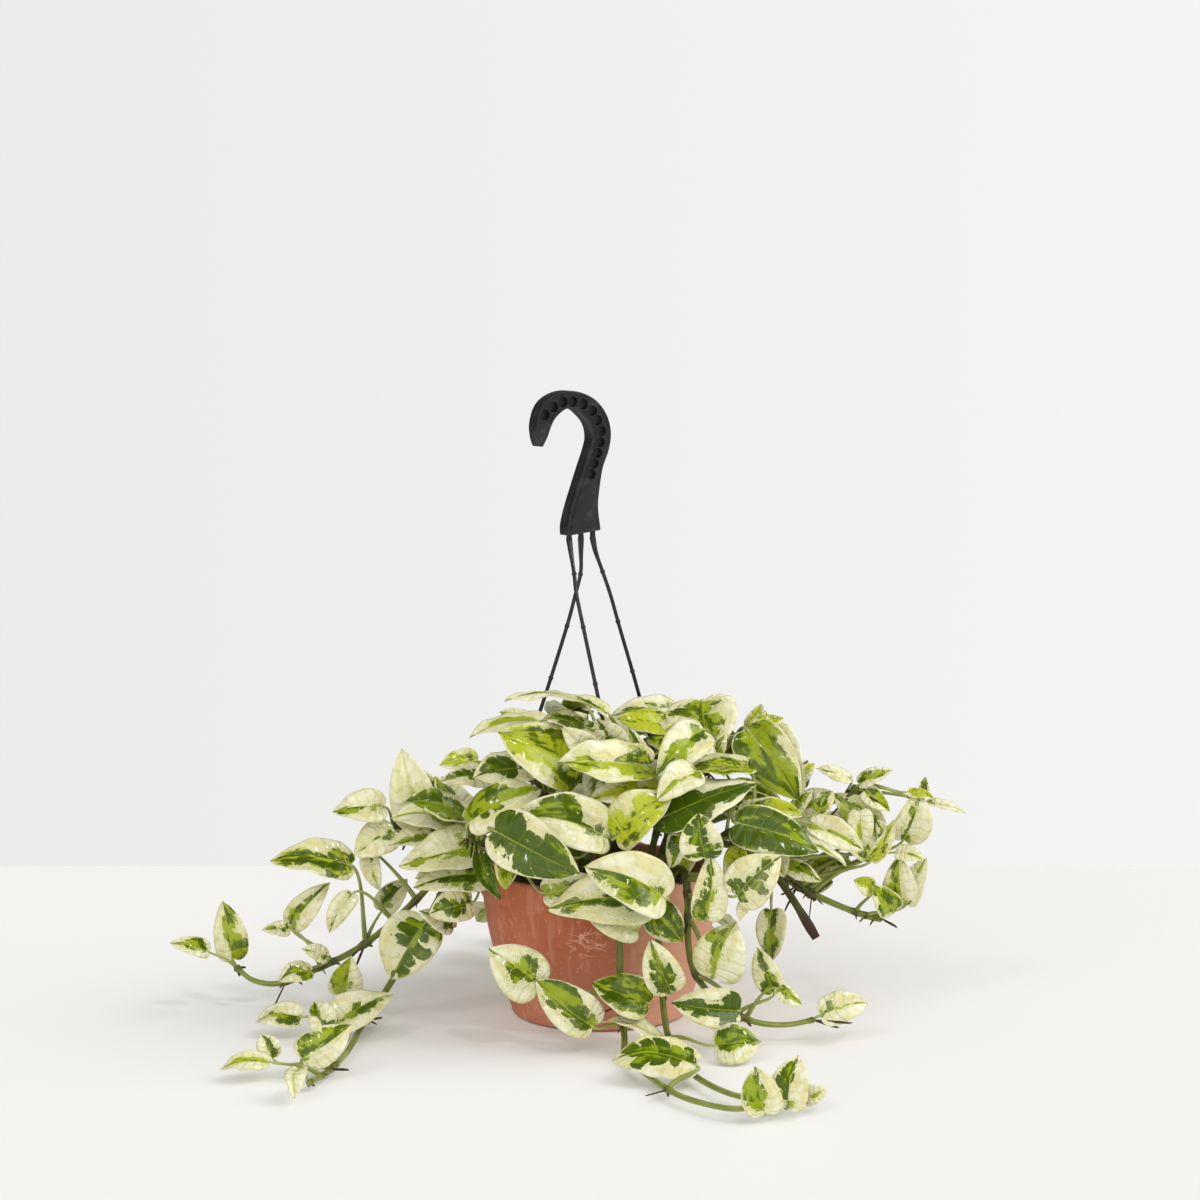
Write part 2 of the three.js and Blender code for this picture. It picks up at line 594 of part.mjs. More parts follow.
      [168, -4, 73], [182, -4, 68], [195, -4, 65]],
    cutStem: [[120, -3, 98], [134, -14, 78], [148, -18, 55]],
    leaves: [
      [0.95, [208, -6, 76], [205, -10, 110], 0, 0.7],
      [1, [212, -2, 76], [225, 0, 107], 10, 0.5],
      [0.9, [201, -14, 73], [186, -20, 93], 10, 0.75],
      [0.84, [188, -22, 91], [174, -30, 96], 10, 0.9],
      [0.45, [185, -12, 114], [152, -16, 129], 30, 0.6],
      [0.5, [175, -4, 123], [151, -6, 139], 30],
      [0.55, [190, 4, 121], [161, 4, 151], 20, 0.6],
      [0.6, [198, -6, 120], [190, -8, 135], 10],
      [0.56, [184, -18, 110], [198, -20, 138], 0, 0.35],
      [0.62, [209, 0, 120], [220, 2, 153], 10, 0.72],
      [0.62, [203, -10, 113], [222, -14, 109], 40],
      [0.45, [117, -22, 75], [118, -26, 41], 10, 0.6],
      [0.42, [172, 12, 102], [143, 10, 94], 40, 0.6],
      [0.5, [176, -10, 141], [179, -16, 117], 10, 0.7],
      [0.4, [165, 14, 86], [143, 12, 78], 20, 0.6],
    ],
  },
  vine_right_high: {
    radius: [2.8, 1.8],
    path: [[52, 26, 78], [52, 26, 98], [68, 27, 122], [96, 24, 134], [124, 20, 138], [150, 14, 142],
      [170, 8, 148], [178, 6, 156]],
    leaves: [
      [0.9, [179, 4, 158], [201, 2, 169], 30, 0.5],
      [0.84, [174, 0, 160], [152, -4, 168], 30, 0.45],
      [0.94, [182, 2, 153], [199, -2, 140], 20],
      [0.97, [212, 4, 152], [230, 2, 148], 40, 0.45],
      [1, [226, 2, 145], [252, 0, 140], 55, 0.3],
      [0.87, [224, 8, 151], [225, 10, 162], 10],
      [0.72, [138, 4, 141], [159, 0, 154], 30],
      [0.6, [136, -6, 126], [151, -10, 144], 20, 0.9],
      [0.54, [122, 10, 160], [142, 8, 172], 30],
    ],
  },
};

// Leafy stems at the back, where leaves grow by a rule on both sides of the stem, facing out and up
const BACK_PLANTS = {
  crown_back: {
    radius: [2.8, 2],
    path: [[0, 44, 78], [0, 44, 98], [0, 56, 130], [2, 68, 158], [0, 76, 180]],
    count: 11,
    first: 0.35,
  },
  crown_back_right: {
    radius: [2.7, 1.9],
    path: [[36, 50, 78], [36, 50, 98], [44, 64, 124], [56, 76, 144], [66, 84, 160]],
    count: 8,
    first: 0.4,
  },
  vine_back_left: {
    radius: [2.8, 1.7],
    path: [[-32, 54, 78], [-32, 54, 98], [-38, 72, 117], [-44, 94, 106], [-47, 110, 70], [-48, 124, 34],
      [-46, 144, 10], [-40, 172, 6], [-30, 198, 7]],
    count: 8,
    first: 0.26,
  },
  vine_back_middle: {
    radius: [2.8, 1.7],
    path: [[14, 60, 78], [14, 60, 98], [14, 76, 115], [12, 96, 106], [10, 114, 70], [8, 128, 34], [7, 150, 9],
      [8, 182, 6], [12, 210, 7]],
    count: 8,
    first: 0.26,
  },
  vine_back_right: {
    radius: [2.8, 1.7],
    path: [[60, 34, 78], [60, 34, 98], [62, 60, 117], [58, 90, 104], [55, 106, 70], [53, 122, 34],
      [54, 144, 10], [60, 170, 6], [64, 192, 7]],
    count: 8,
    first: 0.28,
  },
};

const VIEWER = new THREE.Vector3(0, -1, 0.1).normalize();

// A place moved along its line of sight to another depth
function slide([x, y, z], sheet) {
  const ratio = (y - EYE_DEPTH) / (sheet - EYE_DEPTH);
  return new THREE.Vector3(x * ratio, y, EYE_HEIGHT + (z - EYE_HEIGHT) * ratio);
}

function readLeaves({ sheet, leaves }) {
  return leaves.map(([at, base, tip, roll, width = WIDTH_SHARE]) => ({
    at,
    base: slide(base, sheet ?? base[1]),
    tip: slide(tip, sheet ?? tip[1]),
    roll,
    width,
    facing: VIEWER,
  }));
}

// A leaf's own form: where the edge's waves start, then each range's share
function leafForm(seed) {
  const draw = draws(seed);
  const form = { phase: draw() };
  for (const [name, [least, most]] of Object.entries(FORM_RANGES)) {
    form[name] = least + (most - least) * draw();
  }
  return form;
}

// Leaves of a back stem: they leave it left and right in turn, rise a little and then hang outwards
function growLeaves({ path, count, first }, seed) {
  const draw = draws(seed);
  return Array.from({ length: count }, (_, index) => {
    const at = first + ((1 - first) * index) / (count - 1);
    const root = new THREE.Vector3(...smooth(path, at));
    const ahead = new THREE.Vector3(...smooth(path, Math.min(at + 0.03, 1)));
    const behind = new THREE.Vector3(...smooth(path, at - 0.03));
    const along = ahead.sub(behind).normalize();
    const outward = new THREE.Vector3(root.x, root.y, 0).normalize();
    const sideways = new THREE.Vector3().crossVectors(along, UP);
    if (sideways.length() < 0.5) sideways.crossVectors(outward, UP);
    sideways.normalize().multiplyScalar(index % 2 ? 1 : -1);
    const rise = 0.55 + 0.5 * draw();
    const way = along.multiplyScalar(0.3).addScaledVector(sideways, 0.55)
      .addScaledVector(UP, rise).normalize();
    const base = root.clone().addScaledVector(way, 20 + 12 * draw());
    const lie = sideways.clone().multiplyScalar(0.2 + 0.4 * draw()).addScaledVector(outward, 0.9)
      .addScaledVector(UP, -0.1 - 0.5 * draw()).normalize();
    const tip = base.clone().addScaledVector(lie, 32 + 20 * draw());
    tip.z = Math.max(tip.z, 6);
    return { at, base, tip, roll: 35 + 30 * draw(), width: 0.62 + 0.1 * draw(), facing: outward };
  });
}

// A leaf moved to its turn: turn 0 is as listed, and each later one strays a little further, mostly in depth
function turned(leaf, seed, turn) {
  if (turn === 0) return leaf;
  const draw = draws(seed * 1000 + turn);
  const stray = Math.min(STRAY_STEP * turn, MOST_STRAY);
  const shift = () => new THREE.Vector3(draw() - 0.5, 3 * (draw() - 0.5), draw() - 0.5)
    .multiplyScalar(stray);
  const whole = shift();
  const base = leaf.base.clone().add(whole);
  const tip = leaf.tip.clone().add(whole).add(shift());
  const roll = leaf.roll + (draw() - 0.5) * Math.min(2 * turn, 50);
  return { ...leaf, base, tip, roll };
}

// The frame of a blade: its midrib's way, its left side and its upper face
function bladeFrame({ base, tip, facing, roll }) {
  const length = base.distanceTo(tip);
  const along = tip.clone().sub(base).divideScalar(length);
  const angle = THREE.MathUtils.degToRad(roll);
  const face = facing.clone().multiplyScalar(Math.cos(angle)).addScaledVector(UP, Math.sin(angle));
  face.addScaledVector(along, -face.dot(along)).normalize();
  const side = new THREE.Vector3().crossVectors(face, along);
  return { length, along, side, face };
}

// A point of the blade's middle surface: share along the outline, and share from the midrib (0) to the edge,
// -1 on the right and +1 on the left
function bladePoint(leaf, frame, outline, across) {
  const { form } = leaf;
  const [edgeAlong, edgeAcross] = smooth(LEAF_EDGE, outline);
  const [rib] = smooth(LEAF_RIB, outline);
  const reach = Math.abs(across);
  const lengthwise = rib + (edgeAlong - rib) * reach;
  const bow = Math.sin(Math.PI * Math.max(lengthwise, 0));
  const sideways = edgeAcross * across * leaf.width * (1 + form.skew * Math.sign(across));
  const beat = WAVES * outline + form.phase + 0.4 * Math.sign(across);
  const wave = form.wave * reach * reach * Math.sin(2 * Math.PI * beat);
  const droop = form.curl * Math.max(lengthwise - CURL_START, 0) ** 2;
  const height = form.fold * Math.abs(sideways) + form.arch * bow + wave - droop;
  const turn = form.twist * lengthwise;
  return leaf.base.clone()
    .addScaledVector(frame.along, lengthwise * frame.length)
    .addScaledVector(frame.side, (sideways * Math.cos(turn) + form.bend * bow) * frame.length)
    .addScaledVector(frame.face, (height + sideways * Math.sin(turn)) * frame.length);
}

// A leaf as one closed skin: a three-sided stalk that opens into the notch of a thin blade
function leafSkin(leaf, thickness, stalkRadius) {
  const frame = bladeFrame(leaf);
  const size = frame.length > LARGE_LEAF ? 'large' : frame.length > MIDDLE_LEAF ? 'middle' : 'small';
  const shares = EDGE_SHARES[size];
  const last = shares.length - 1;
  const positions = [];
  const triangles = [];
  const put = (point) => positions.push(...point.toArray()) / 3 - 1;
  const pair = (point) => {
    const upper = put(point.clone().addScaledVector(frame.face, thickness / 2));
    const lower = put(point.clone().addScaledVector(frame.face, -thickness / 2));
    return [upper, lower];
  };
  const at = (outline, across) => pair(bladePoint(leaf, frame, outline, across));
  const tip = at(1, 0);
  const ribs = shares.map((share) => at(share, 0));
  const lefts = shares.map((share) => at(share, 1));
  const rights = shares.map((share) => at(share, -1));
  const { root } = leaf;
  const notch = bladePoint(leaf, frame, 0, 0);
  const ring = (middle, side, face) => [
    put(middle.clone().addScaledVector(face, Math.max(stalkRadius * 0.75, thickness / 2))),
    put(middle.clone().addScaledVector(face, -stalkRadius * 0.7).addScaledVector(side, stalkRadius * 0.85)),
    put(middle.clone().addScaledVector(face, -stalkRadius * 0.7).addScaledVector(side, -stalkRadius * 0.85)),
  ];
  const notchRing = ring(notch, frame.side, frame.face);
  const [top, lowLeft, lowRight] = notchRing;
  const bothFaces = (a, b, c) => {
    triangles.push(a[0], b[0], c[0], a[1], c[1], b[1]);
  };
  const notchLeft = [top, lowLeft];
  const notchRight = [top, lowRight];
  bothFaces(notchLeft, lefts[1], lefts[0]);
  bothFaces(notchLeft, ribs[1], lefts[1]);
  bothFaces(notchRight, rights[0], rights[1]);
  bothFaces(notchRight, rights[1], ribs[1]);
  triangles.push(lowLeft, ribs[1][1], lowRight);
  for (let i = 1; i < last; i += 1) {
    bothFaces(ribs[i], ribs[i + 1], lefts[i + 1]);
    bothFaces(ribs[i], lefts[i + 1], lefts[i]);
    bothFaces(ribs[i], rights[i + 1], ribs[i + 1]);
    bothFaces(ribs[i], rights[i], rights[i + 1]);
  }
  bothFaces(ribs[last], tip, lefts[last]);
  bothFaces(ribs[last], rights[last], tip);
  const outline = [notchRight, ...rights, tip, ...lefts.reverse(), notchLeft];
  for (let i = 0; i < outline.length - 1; i += 1) {
    const [a, b] = [outline[i], outline[i + 1]];
    triangles.push(a[0], a[1], b[1], a[0], b[1], b[0]);
  }
  const bladeTriangles = triangles.length;
  const stalk = new THREE.CubicBezierCurve3(root, ...stalkHandles(root, notch, frame), notch);
  const reach = root.distanceTo(notch);
  const steps = reach > LONG_STALK ? 3 : reach > SHORT_STALK ? 2 : 1;
  let after = notchRing;
  for (let step = steps - 1; step >= 0; step -= 1) {
    const share = step / steps;
    const tangent = stalk.getTangent(share);
    const side = frame.side.clone().addScaledVector(tangent, -frame.side.dot(tangent)).normalize();
    const before = ring(stalk.getPoint(share), side, new THREE.Vector3().crossVectors(tangent, side));
    for (let corner = 0; corner < 3; corner += 1) {
      const next = (corner + 1) % 3;
      triangles.push(after[corner], after[next], before[next], after[corner], before[next], before[corner]);
    }
    after = before;
  }
  triangles.push(...after);
  return { positions, triangles, bladeTriangles };
}

// A leaf stalk leaves its stem rising and comes to the blade's notch from behind
function stalkHandles(root, notch, frame) {
  const reach = root.distanceTo(notch);
  const rising = notch.clone().sub(root).normalize().addScaledVector(UP, 0.5).normalize();
  const leaving = root.clone().addScaledVector(rising, reach * 0.4);
  const arriving = notch.clone().addScaledVector(frame.along, -Math.min(reach * 0.3, 10))
    .addScaledVector(frame.face, -Math.min(reach * 0.12, 4));
  return [leaving, arriving];
}

// Room: what stands already, as triangles in boxes

function facesOf({ positions, triangles }, from = 0, to = triangles.length) {
  const faces = [];
  for (let i = from; i < to; i += 3) {
    const corners = [0, 1, 2].map((k) => new THREE.Vector3().fromArray(positions, triangles[i + k] * 3));
    faces.push({ corners, box: new THREE.Box3().setFromPoints(corners) });
  }
  const box = new THREE.Box3();
  faces.forEach((face) => box.union(face.box));
  return { faces, box };
}

function edgeCrosses(start, end, [a, b, c]) {
  const way = end.clone().sub(start);
  const ab = b.clone().sub(a);
  const ac = c.clone().sub(a);
  const cross = new THREE.Vector3().crossVectors(way, ac);
  const scale = ab.dot(cross);
  if (Math.abs(scale) < 1e-9) return false;
  const offset = start.clone().sub(a);
  const u = offset.dot(cross) / scale;
  if (u < 0 || u > 1) return false;
  const turn = new THREE.Vector3().crossVectors(offset, ab);
  const v = way.dot(turn) / scale;
  if (v < 0 || u + v > 1) return false;
  const t = ac.dot(turn) / scale;
  return t >= 0 && t <= 1;
}

function facesCross(one, other) {
  if (!one.box.intersectsBox(other.box)) return false;
  for (let k = 0; k < 3; k += 1) {
    if (edgeCrosses(one.corners[k], one.corners[(k + 1) % 3], other.corners)) return true;
    if (edgeCrosses(other.corners[k], other.corners[(k + 1) % 3], one.corners)) return true;
  }
  return false;
}

function shapesCross(one, other) {
  if (!one.box.intersectsBox(other.box)) return false;
  const near = other.faces.filter((face) => face.box.intersectsBox(one.box));
  return one.faces.some((face) => near.some((rival) => facesCross(face, rival)));
}

function meetsGround({ faces }) {
  return faces.some(({ corners }) => corners.some(({ x, y, z }) => {
    const inPot = Math.hypot(x, y) < POT_RIM_RADIUS - POT_WALL;
    return z < FLOOR_CLEARANCE || (inPot && z < SOIL_TOP + SOIL_RISE + FLOOR_CLEARANCE);
  }));
}

// How badly a leaf at its turn meets the rest: 0 not at all, 1 only its own plant, 2 something else
function conflict(leaf, shape, standing) {
  const { blade, stalk } = shape;
  if (meetsGround(blade) || meetsGround(stalk)) return 2;
  let worst = 0;
  for (const rival of standing) {
    const own = rival.plant === leaf.plant;
    const bladeMeets = shapesCross(blade, rival.shape);
    const stalkMeets = (!own || rival.kind === 'blade') && shapesCross(stalk, rival.shape);
    if (bladeMeets || stalkMeets) {
      if (!own) return 2;
      worst = 1;
    }
  }
  return worst;
}

function leafShape(skin) {
  return {
    blade: facesOf(skin, 0, skin.bladeTriangles),
    stalk: facesOf(skin, skin.bladeTriangles),
  };
}

function place(leaf, standing) {
  let second = null;
  for (let turn = 0; turn < MOST_TURNS; turn += 1) {
    const moved = turned(leaf, leaf.seed, turn);
    const wideBlade = BLADE_THICKNESS + 2 * PIECE_CLEARANCE;
    const wide = leafSkin(moved, wideBlade, PETIOLE_RADIUS + PIECE_CLEARANCE);
    const meeting = conflict(leaf, leafShape(wide), standing);
    if (meeting === 0) return moved;
    if (meeting === 1 && !second) second = moved;
  }
  return second;
}

function cutStemBar(points) {
  const radii = points.map(() => CUT_STEM_RADIUS);
  return bar(points.map((point) => new THREE.Vector3(...point)), radii, STEM_SIDES);
}

// A stem's rings: one at its foot, one where it leaves the soil, and the rest spaced evenly along the curve
function stemLine(path) {
  const soilShare = 1 / (path.length - 1);
  const steps = Math.round(curveLength(path.slice(1)) / STEM_STEP);
  const shares = [0];
  for (let step = 0; step <= steps; step += 1) {
    shares.push(soilShare + ((1 - soilShare) * step) / steps);
  }
  return shares.map((share) => ({ share, point: new THREE.Vector3(...smooth(path, share)) }));
}

// The middle of a stem at a share of its length
function stemMiddle(path, share) {
  const line = stemLine(path);
  const next = Math.max(line.findIndex((ring) => ring.share >= share), 1);
  const [one, other] = [line[next - 1], line[next]];
  return one.point.clone().lerp(other.point, (share - one.share) / (other.share - one.share));
}

function stemBar({ path, radius }) {
  const line = stemLine(path);
  const radii = line.map(({ share }) => radius[0] + (radius[1] - radius[0]) * share);
  return bar(line.map(({ point }) => point), radii, STEM_SIDES);
}

// Building

const strandBars = Object.entries(STRANDS).map(([name, strand]) => [name, strandShape(strand)]);
const hook = hookBody(Object.values(STRANDS).map(({ root }) => root));

let pot = potBody();
for (const { bearing } of Object.values(STRANDS)) {
  const from = rimPoint(bearing, POT_RIM_RADIUS - POT_WALL - 2, RIM_HOLE_HEIGHT);
  const to = rimPoint(bearing, POT_RIM_RADIUS + 2, RIM_HOLE_HEIGHT);
  pot = pot.subtract(drill(from, to, STRAND_HOLE_RADIUS, ROUND_SIDES));
}

const everyPlant = { ...PLANTS, ...BACK_PLANTS };
let soil = soilBody();
for (const { path, radius } of Object.values(everyPlant)) {
  const [x, y] = path[0];
  const holeRadius = (radius[0] + TOUCH_GAP) / Math.cos(Math.PI / HOLE_SIDES);
  const mouth = new THREE.Vector3(x, y, POT_HEIGHT);
  soil = soil.subtract(drill(new THREE.Vector3(x, y, HOLE_BOTTOM), mouth, holeRadius, HOLE_SIDES));
}

const standing = [];
for (const [, shape] of strandBars) {
  standing.push({ plant: null, kind: 'fixed', shape: facesOf(shape) });
}
const potMesh = meshOf('pot', pot, terracotta);
const potSkin = {
  positions: [...potMesh.geometry.attributes.position.array],
  triangles: [...potMesh.geometry.index.array],
};
standing.push({ plant: null, kind: 'fixed', shape: facesOf(potSkin) });

const stems = new Map();
const leaves = [];
Object.entries(everyPlant).forEach(([plant, sizes], order) => {
  const stem = stemBar(sizes);
  stems.set(plant, stem);
  standing.push({ plant, kind: 'stem', shape: facesOf(stem) });
  if (sizes.cutStem) standing.push({ plant, kind: 'stem', shape: facesOf(cutStemBar(sizes.cutStem)) });
  const own = sizes.leaves ? readLeaves(sizes) : growLeaves(sizes, 100 + order);
  own.forEach((leaf, index) => {
    const seed = 100 * (order + 1) + index;
    const root = stemMiddle(sizes.path, Math.min(leaf.at, LAST_ROOT));
    leaves.push({ ...leaf, plant, seed, root, form: leafForm(seed) });
  });
});

// Larger leaves take their place first
leaves.sort((one, other) => other.base.distanceTo(other.tip) - one.base.distanceTo(one.tip));
const grown = new Map([...stems.keys()].map((plant) => [plant, []]));
for (const leaf of leaves) {
  const placed = place(leaf, standing);
  if (placed) {
    const skin = leafSkin(placed, BLADE_THICKNESS, PETIOLE_RADIUS);
    const { blade, stalk } = leafShape(skin);
    standing.push({ plant: leaf.plant, kind: 'blade', shape: blade });
    standing.push({ plant: leaf.plant, kind: 'stalk', shape: stalk });
    grown.get(leaf.plant).push(skin);
  }
}

const group = new THREE.Group();
group.add(potMesh);
group.add(meshOf('soil', soil, earth));
group.add(meshOf('hanger_hook', hook, blackPlastic));
for (const [name, { positions, triangles }] of strandBars) {
  group.add(meshOf(name, manifoldOf(positions, triangles), blackPlastic));
}
for (const [plant, stem] of stems) {
  let body = manifoldOf(stem.positions, stem.triangles);
  const { cutStem } = everyPlant[plant];
  if (cutStem) {
    const { positions, triangles } = cutStemBar(cutStem);
    body = body.add(manifoldOf(positions, triangles));
  }
  for (const { positions, triangles } of grown.get(plant)) {
    body = body.add(manifoldOf(positions, triangles));
  }
  group.add(meshOf(plant, body, foliage));
}

export default group;
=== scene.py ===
"""Looks of a potted variegated pothos in a hanging pot that stands on a pale floor.

Places are in millimetres in the part's own frame: the origin is the middle of the pot's base, +Z is up
and the plant is seen from the -Y side. Meshes are built in metres.
"""

import logging
import math
from dataclasses import dataclass, field, replace
from enum import Enum
from functools import cached_property, reduce
from typing import ClassVar, Iterable, Sequence

import bpy
import numpy as np
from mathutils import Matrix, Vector
from mathutils.kdtree import KDTree


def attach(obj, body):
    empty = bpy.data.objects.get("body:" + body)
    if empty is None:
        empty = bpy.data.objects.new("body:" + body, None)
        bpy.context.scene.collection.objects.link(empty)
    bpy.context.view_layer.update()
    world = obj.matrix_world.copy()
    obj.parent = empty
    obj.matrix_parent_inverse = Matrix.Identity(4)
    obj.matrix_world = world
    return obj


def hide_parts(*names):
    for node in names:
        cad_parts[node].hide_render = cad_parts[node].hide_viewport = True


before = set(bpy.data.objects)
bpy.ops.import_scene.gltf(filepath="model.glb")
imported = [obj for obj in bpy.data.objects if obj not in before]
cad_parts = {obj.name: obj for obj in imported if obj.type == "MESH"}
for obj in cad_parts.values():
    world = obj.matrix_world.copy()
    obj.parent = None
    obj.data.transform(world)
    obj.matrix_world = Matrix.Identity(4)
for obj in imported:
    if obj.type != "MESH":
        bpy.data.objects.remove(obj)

log = logging.getLogger("pothos")

Point = tuple[float, float, float]
Colour = tuple[float, float, float]
Size = tuple[float, float]
Piece = bpy.types.Object
Material = bpy.types.Material
Socket = bpy.types.NodeSocket
NodeGroup = bpy.types.GeometryNodeTree

METRES = 0.001
ROOT_BODY = "root"
UP = np.array((0.0, 0.0, 1.0))

# Driving sizes of the pot
POT_RIM_RADIUS = 82.5
POT_BASE_RADIUS = 60.0
POT_HEIGHT = 102.0
POT_WALL = 5.0
POT_FLOOR = 6.0
RIM_BAND_HEIGHT = 18.0
RIM_STEP = 1.6
POT_BULGE = 1.25
RIM_HOLE_HEIGHT = 94.0
SOIL_TOP = 88.0
SOIL_RISE = 2.0

# Driving sizes of the hanger
HOOK_THICKNESS = 12.0
HOOK_YAW = math.radians(30)
HOOK_MIDDLE_X = -13.0
STRAND_RADIUS = 1.3
STRAND_ROOT_RADIUS = 1.8
STRAND_TOP = 328.0
SOCKET_TOP = 340.0

# Driving sizes of the leaves and stems
BLADE_THICKNESS = 0.5
SOLID_BLADE_THICKNESS = 0.7
WAVES = 1.6
CURL_START = 0.45
VEINS = 8
WIDTH_SHARE = 0.66
LAST_ROOT = 0.99
MOST_TURNS = 160
STRAY_STEP = 0.3
MOST_STRAY = 12.0
ROLL_STEP = 2.0
MOST_ROLL = 50.0
TURNS_APART = 1000

# Least blade length, and the steps along its outline and from its midrib to its edge
BLADE_GRIDS = ((52.0, (34, 8)), (29.0, (26, 6)), (0.0, (18, 5)))

# The eye that the leaves were read from
EYE_DEPTH = -1936.0
EYE_HEIGHT = 503.0
EYE_PITCH = math.radians(6.4)
EYE_LENS = 85.7
VIEWER = np.array((0.0, -1.0, 0.1)) / math.hypot(1.0, 0.1)

# Half of a blade's outline, as shares of its length and width, from the notch over the lobe to the tip,
# and where the vein to each of these points leaves the midrib
LEAF_EDGE = (
    (0, 0), (-0.06, 0.2), (0.03, 0.42), (0.23, 0.51), (0.48, 0.48), (0.73, 0.345), (0.91, 0.15), (1, 0),
)
LEAF_RIB = ((0,), (0,), (0.06,), (0.18,), (0.36,), (0.58,), (0.8,), (1,))

# What sets one blade apart from the next, from least to most, in the order that it is drawn
FORM_RANGES = {
    "fold": (0.02, 0.3),
    "arch": (0.02, 0.13),
    "wave": (0.015, 0.045),
    "curl": (0.0, 0.45),
    "twist": (-0.45, 0.45),
    "bend": (-0.06, 0.06),
    "skew": (-0.1, 0.1),
}

# The same for the place of a leaf that grows by rule, in millimetres and degrees
GROWN_RANGES = {
    "rise": (0.55, 1.05),
    "stalk": (20.0, 32.0),
    "spread": (0.2, 0.6),
    "hang": (-0.1, -0.6),
    "length": (32.0, 52.0),
    "roll": (35.0, 65.0),
    "width": (0.62, 0.72),
}


@dataclass(frozen=True)
class Pattern:
    """How a leaf's green lies on its cream ground.

    Attributes:
        green: How far the green patch reaches from the midrib to the edge, from about 0 to 1.
        lobes: How deeply the patch is cut into fingers along the side veins.
        spots: How many loose spots and holes there are, from 0 to 1.
        side: How much further the patch reaches left of the midrib than right of it.
        lime: How yellow the green is, from 0 to 1.
        depth: How dark the green is, from 0 to 1.
    """

    green: float
    lobes: float
    spots: float
    side: float
    lime: float
    depth: float


class Look(Enum):
    """The kinds of leaf on the plant."""

    PALE = Pattern(green=0.04, lobes=0.35, spots=0.35, side=0.0, lime=0.5, depth=0.3)
    SPOT = Pattern(green=0.12, lobes=0.5, spots=0.7, side=0.1, lime=0.35, depth=0.45)
    STREAKED = Pattern(green=0.24, lobes=0.7, spots=0.5, side=-0.05, lime=0.2, depth=0.65)
    MARBLED = Pattern(green=0.38, lobes=0.6, spots=0.7, side=0.06, lime=0.4, depth=0.5)
    HEART = Pattern(green=0.58, lobes=0.5, spots=0.3, side=0.0, lime=0.3, depth=0.55)
    DARK_HEART = Pattern(green=0.78, lobes=0.4, spots=0.25, side=0.0, lime=0.05, depth=0.9)
    TREE = Pattern(green=0.44, lobes=1.0, spots=0.15, side=0.0, lime=0.15, depth=0.7)
    LEFT = Pattern(green=0.42, lobes=0.5, spots=0.4, side=0.42, lime=0.45, depth=0.45)
    RIGHT = Pattern(green=0.42, lobes=0.5, spots=0.4, side=-0.42, lime=0.45, depth=0.45)
    LIME = Pattern(green=0.66, lobes=0.6, spots=0.4, side=0.05, lime=0.95, depth=0.25)
    LIME_HEART = Pattern(green=0.6, lobes=0.6, spots=0.35, side=0.0, lime=0.75, depth=0.5)
    GREEN = Pattern(green=0.95, lobes=0.4, spots=0.4, side=0.0, lime=0.5, depth=0.5)
    DARK = Pattern(green=1.1, lobes=0.3, spots=0.5, side=0.0, lime=0.25, depth=0.75)


(
    PALE, SPOT, STREAKED, MARBLED, HEART, DARK_HEART, TREE, LEFT, RIGHT, LIME, LIME_HEART, GREEN, DARK,
) = Look
BACK_LOOKS = (HEART, STREAKED, MARBLED, LEFT, GREEN, PALE, LIME, TREE)


@dataclass(frozen=True)
class Leaf:
    """One leaf as it is read.

    Attributes:
        at: Share of the stem's length where the leaf grows.
        base: Where the blade meets its stalk.
        tip: The blade's tip.
        roll: Turn of the upper face in degrees: 0 faces the viewer and 90 faces up.
        look: The leaf's kind.
        width: The blade's width as a share of its length.
    """

    at: float
    base: Point
    tip: Point
    roll: float
    look: Look
    width: float = WIDTH_SHARE


@dataclass(frozen=True)
class Plant:
    """One leafy stem.

    Attributes:
        name: The name of the node that it stands for.
        radius: The stem's radius at the soil and at its tip.
        path: Points that the stem runs through.
        leaves: Its leaves, as read.
        sheet: Depth of the upright sheet that the leaves are read on, where they are.
        cut_stem: Points of a cut side stem, where it has one.
        grown: How many leaves grow by rule instead.
        first: Share of the stem's length where the first of these grows.
    """

    name: str
    radius: tuple[float, float]
    path: tuple[Point, ...]
    leaves: tuple[Leaf, ...] = ()
    sheet: float | None = None
    cut_stem: tuple[Point, ...] = ()
    grown: int = 0
    first: float = 0.0


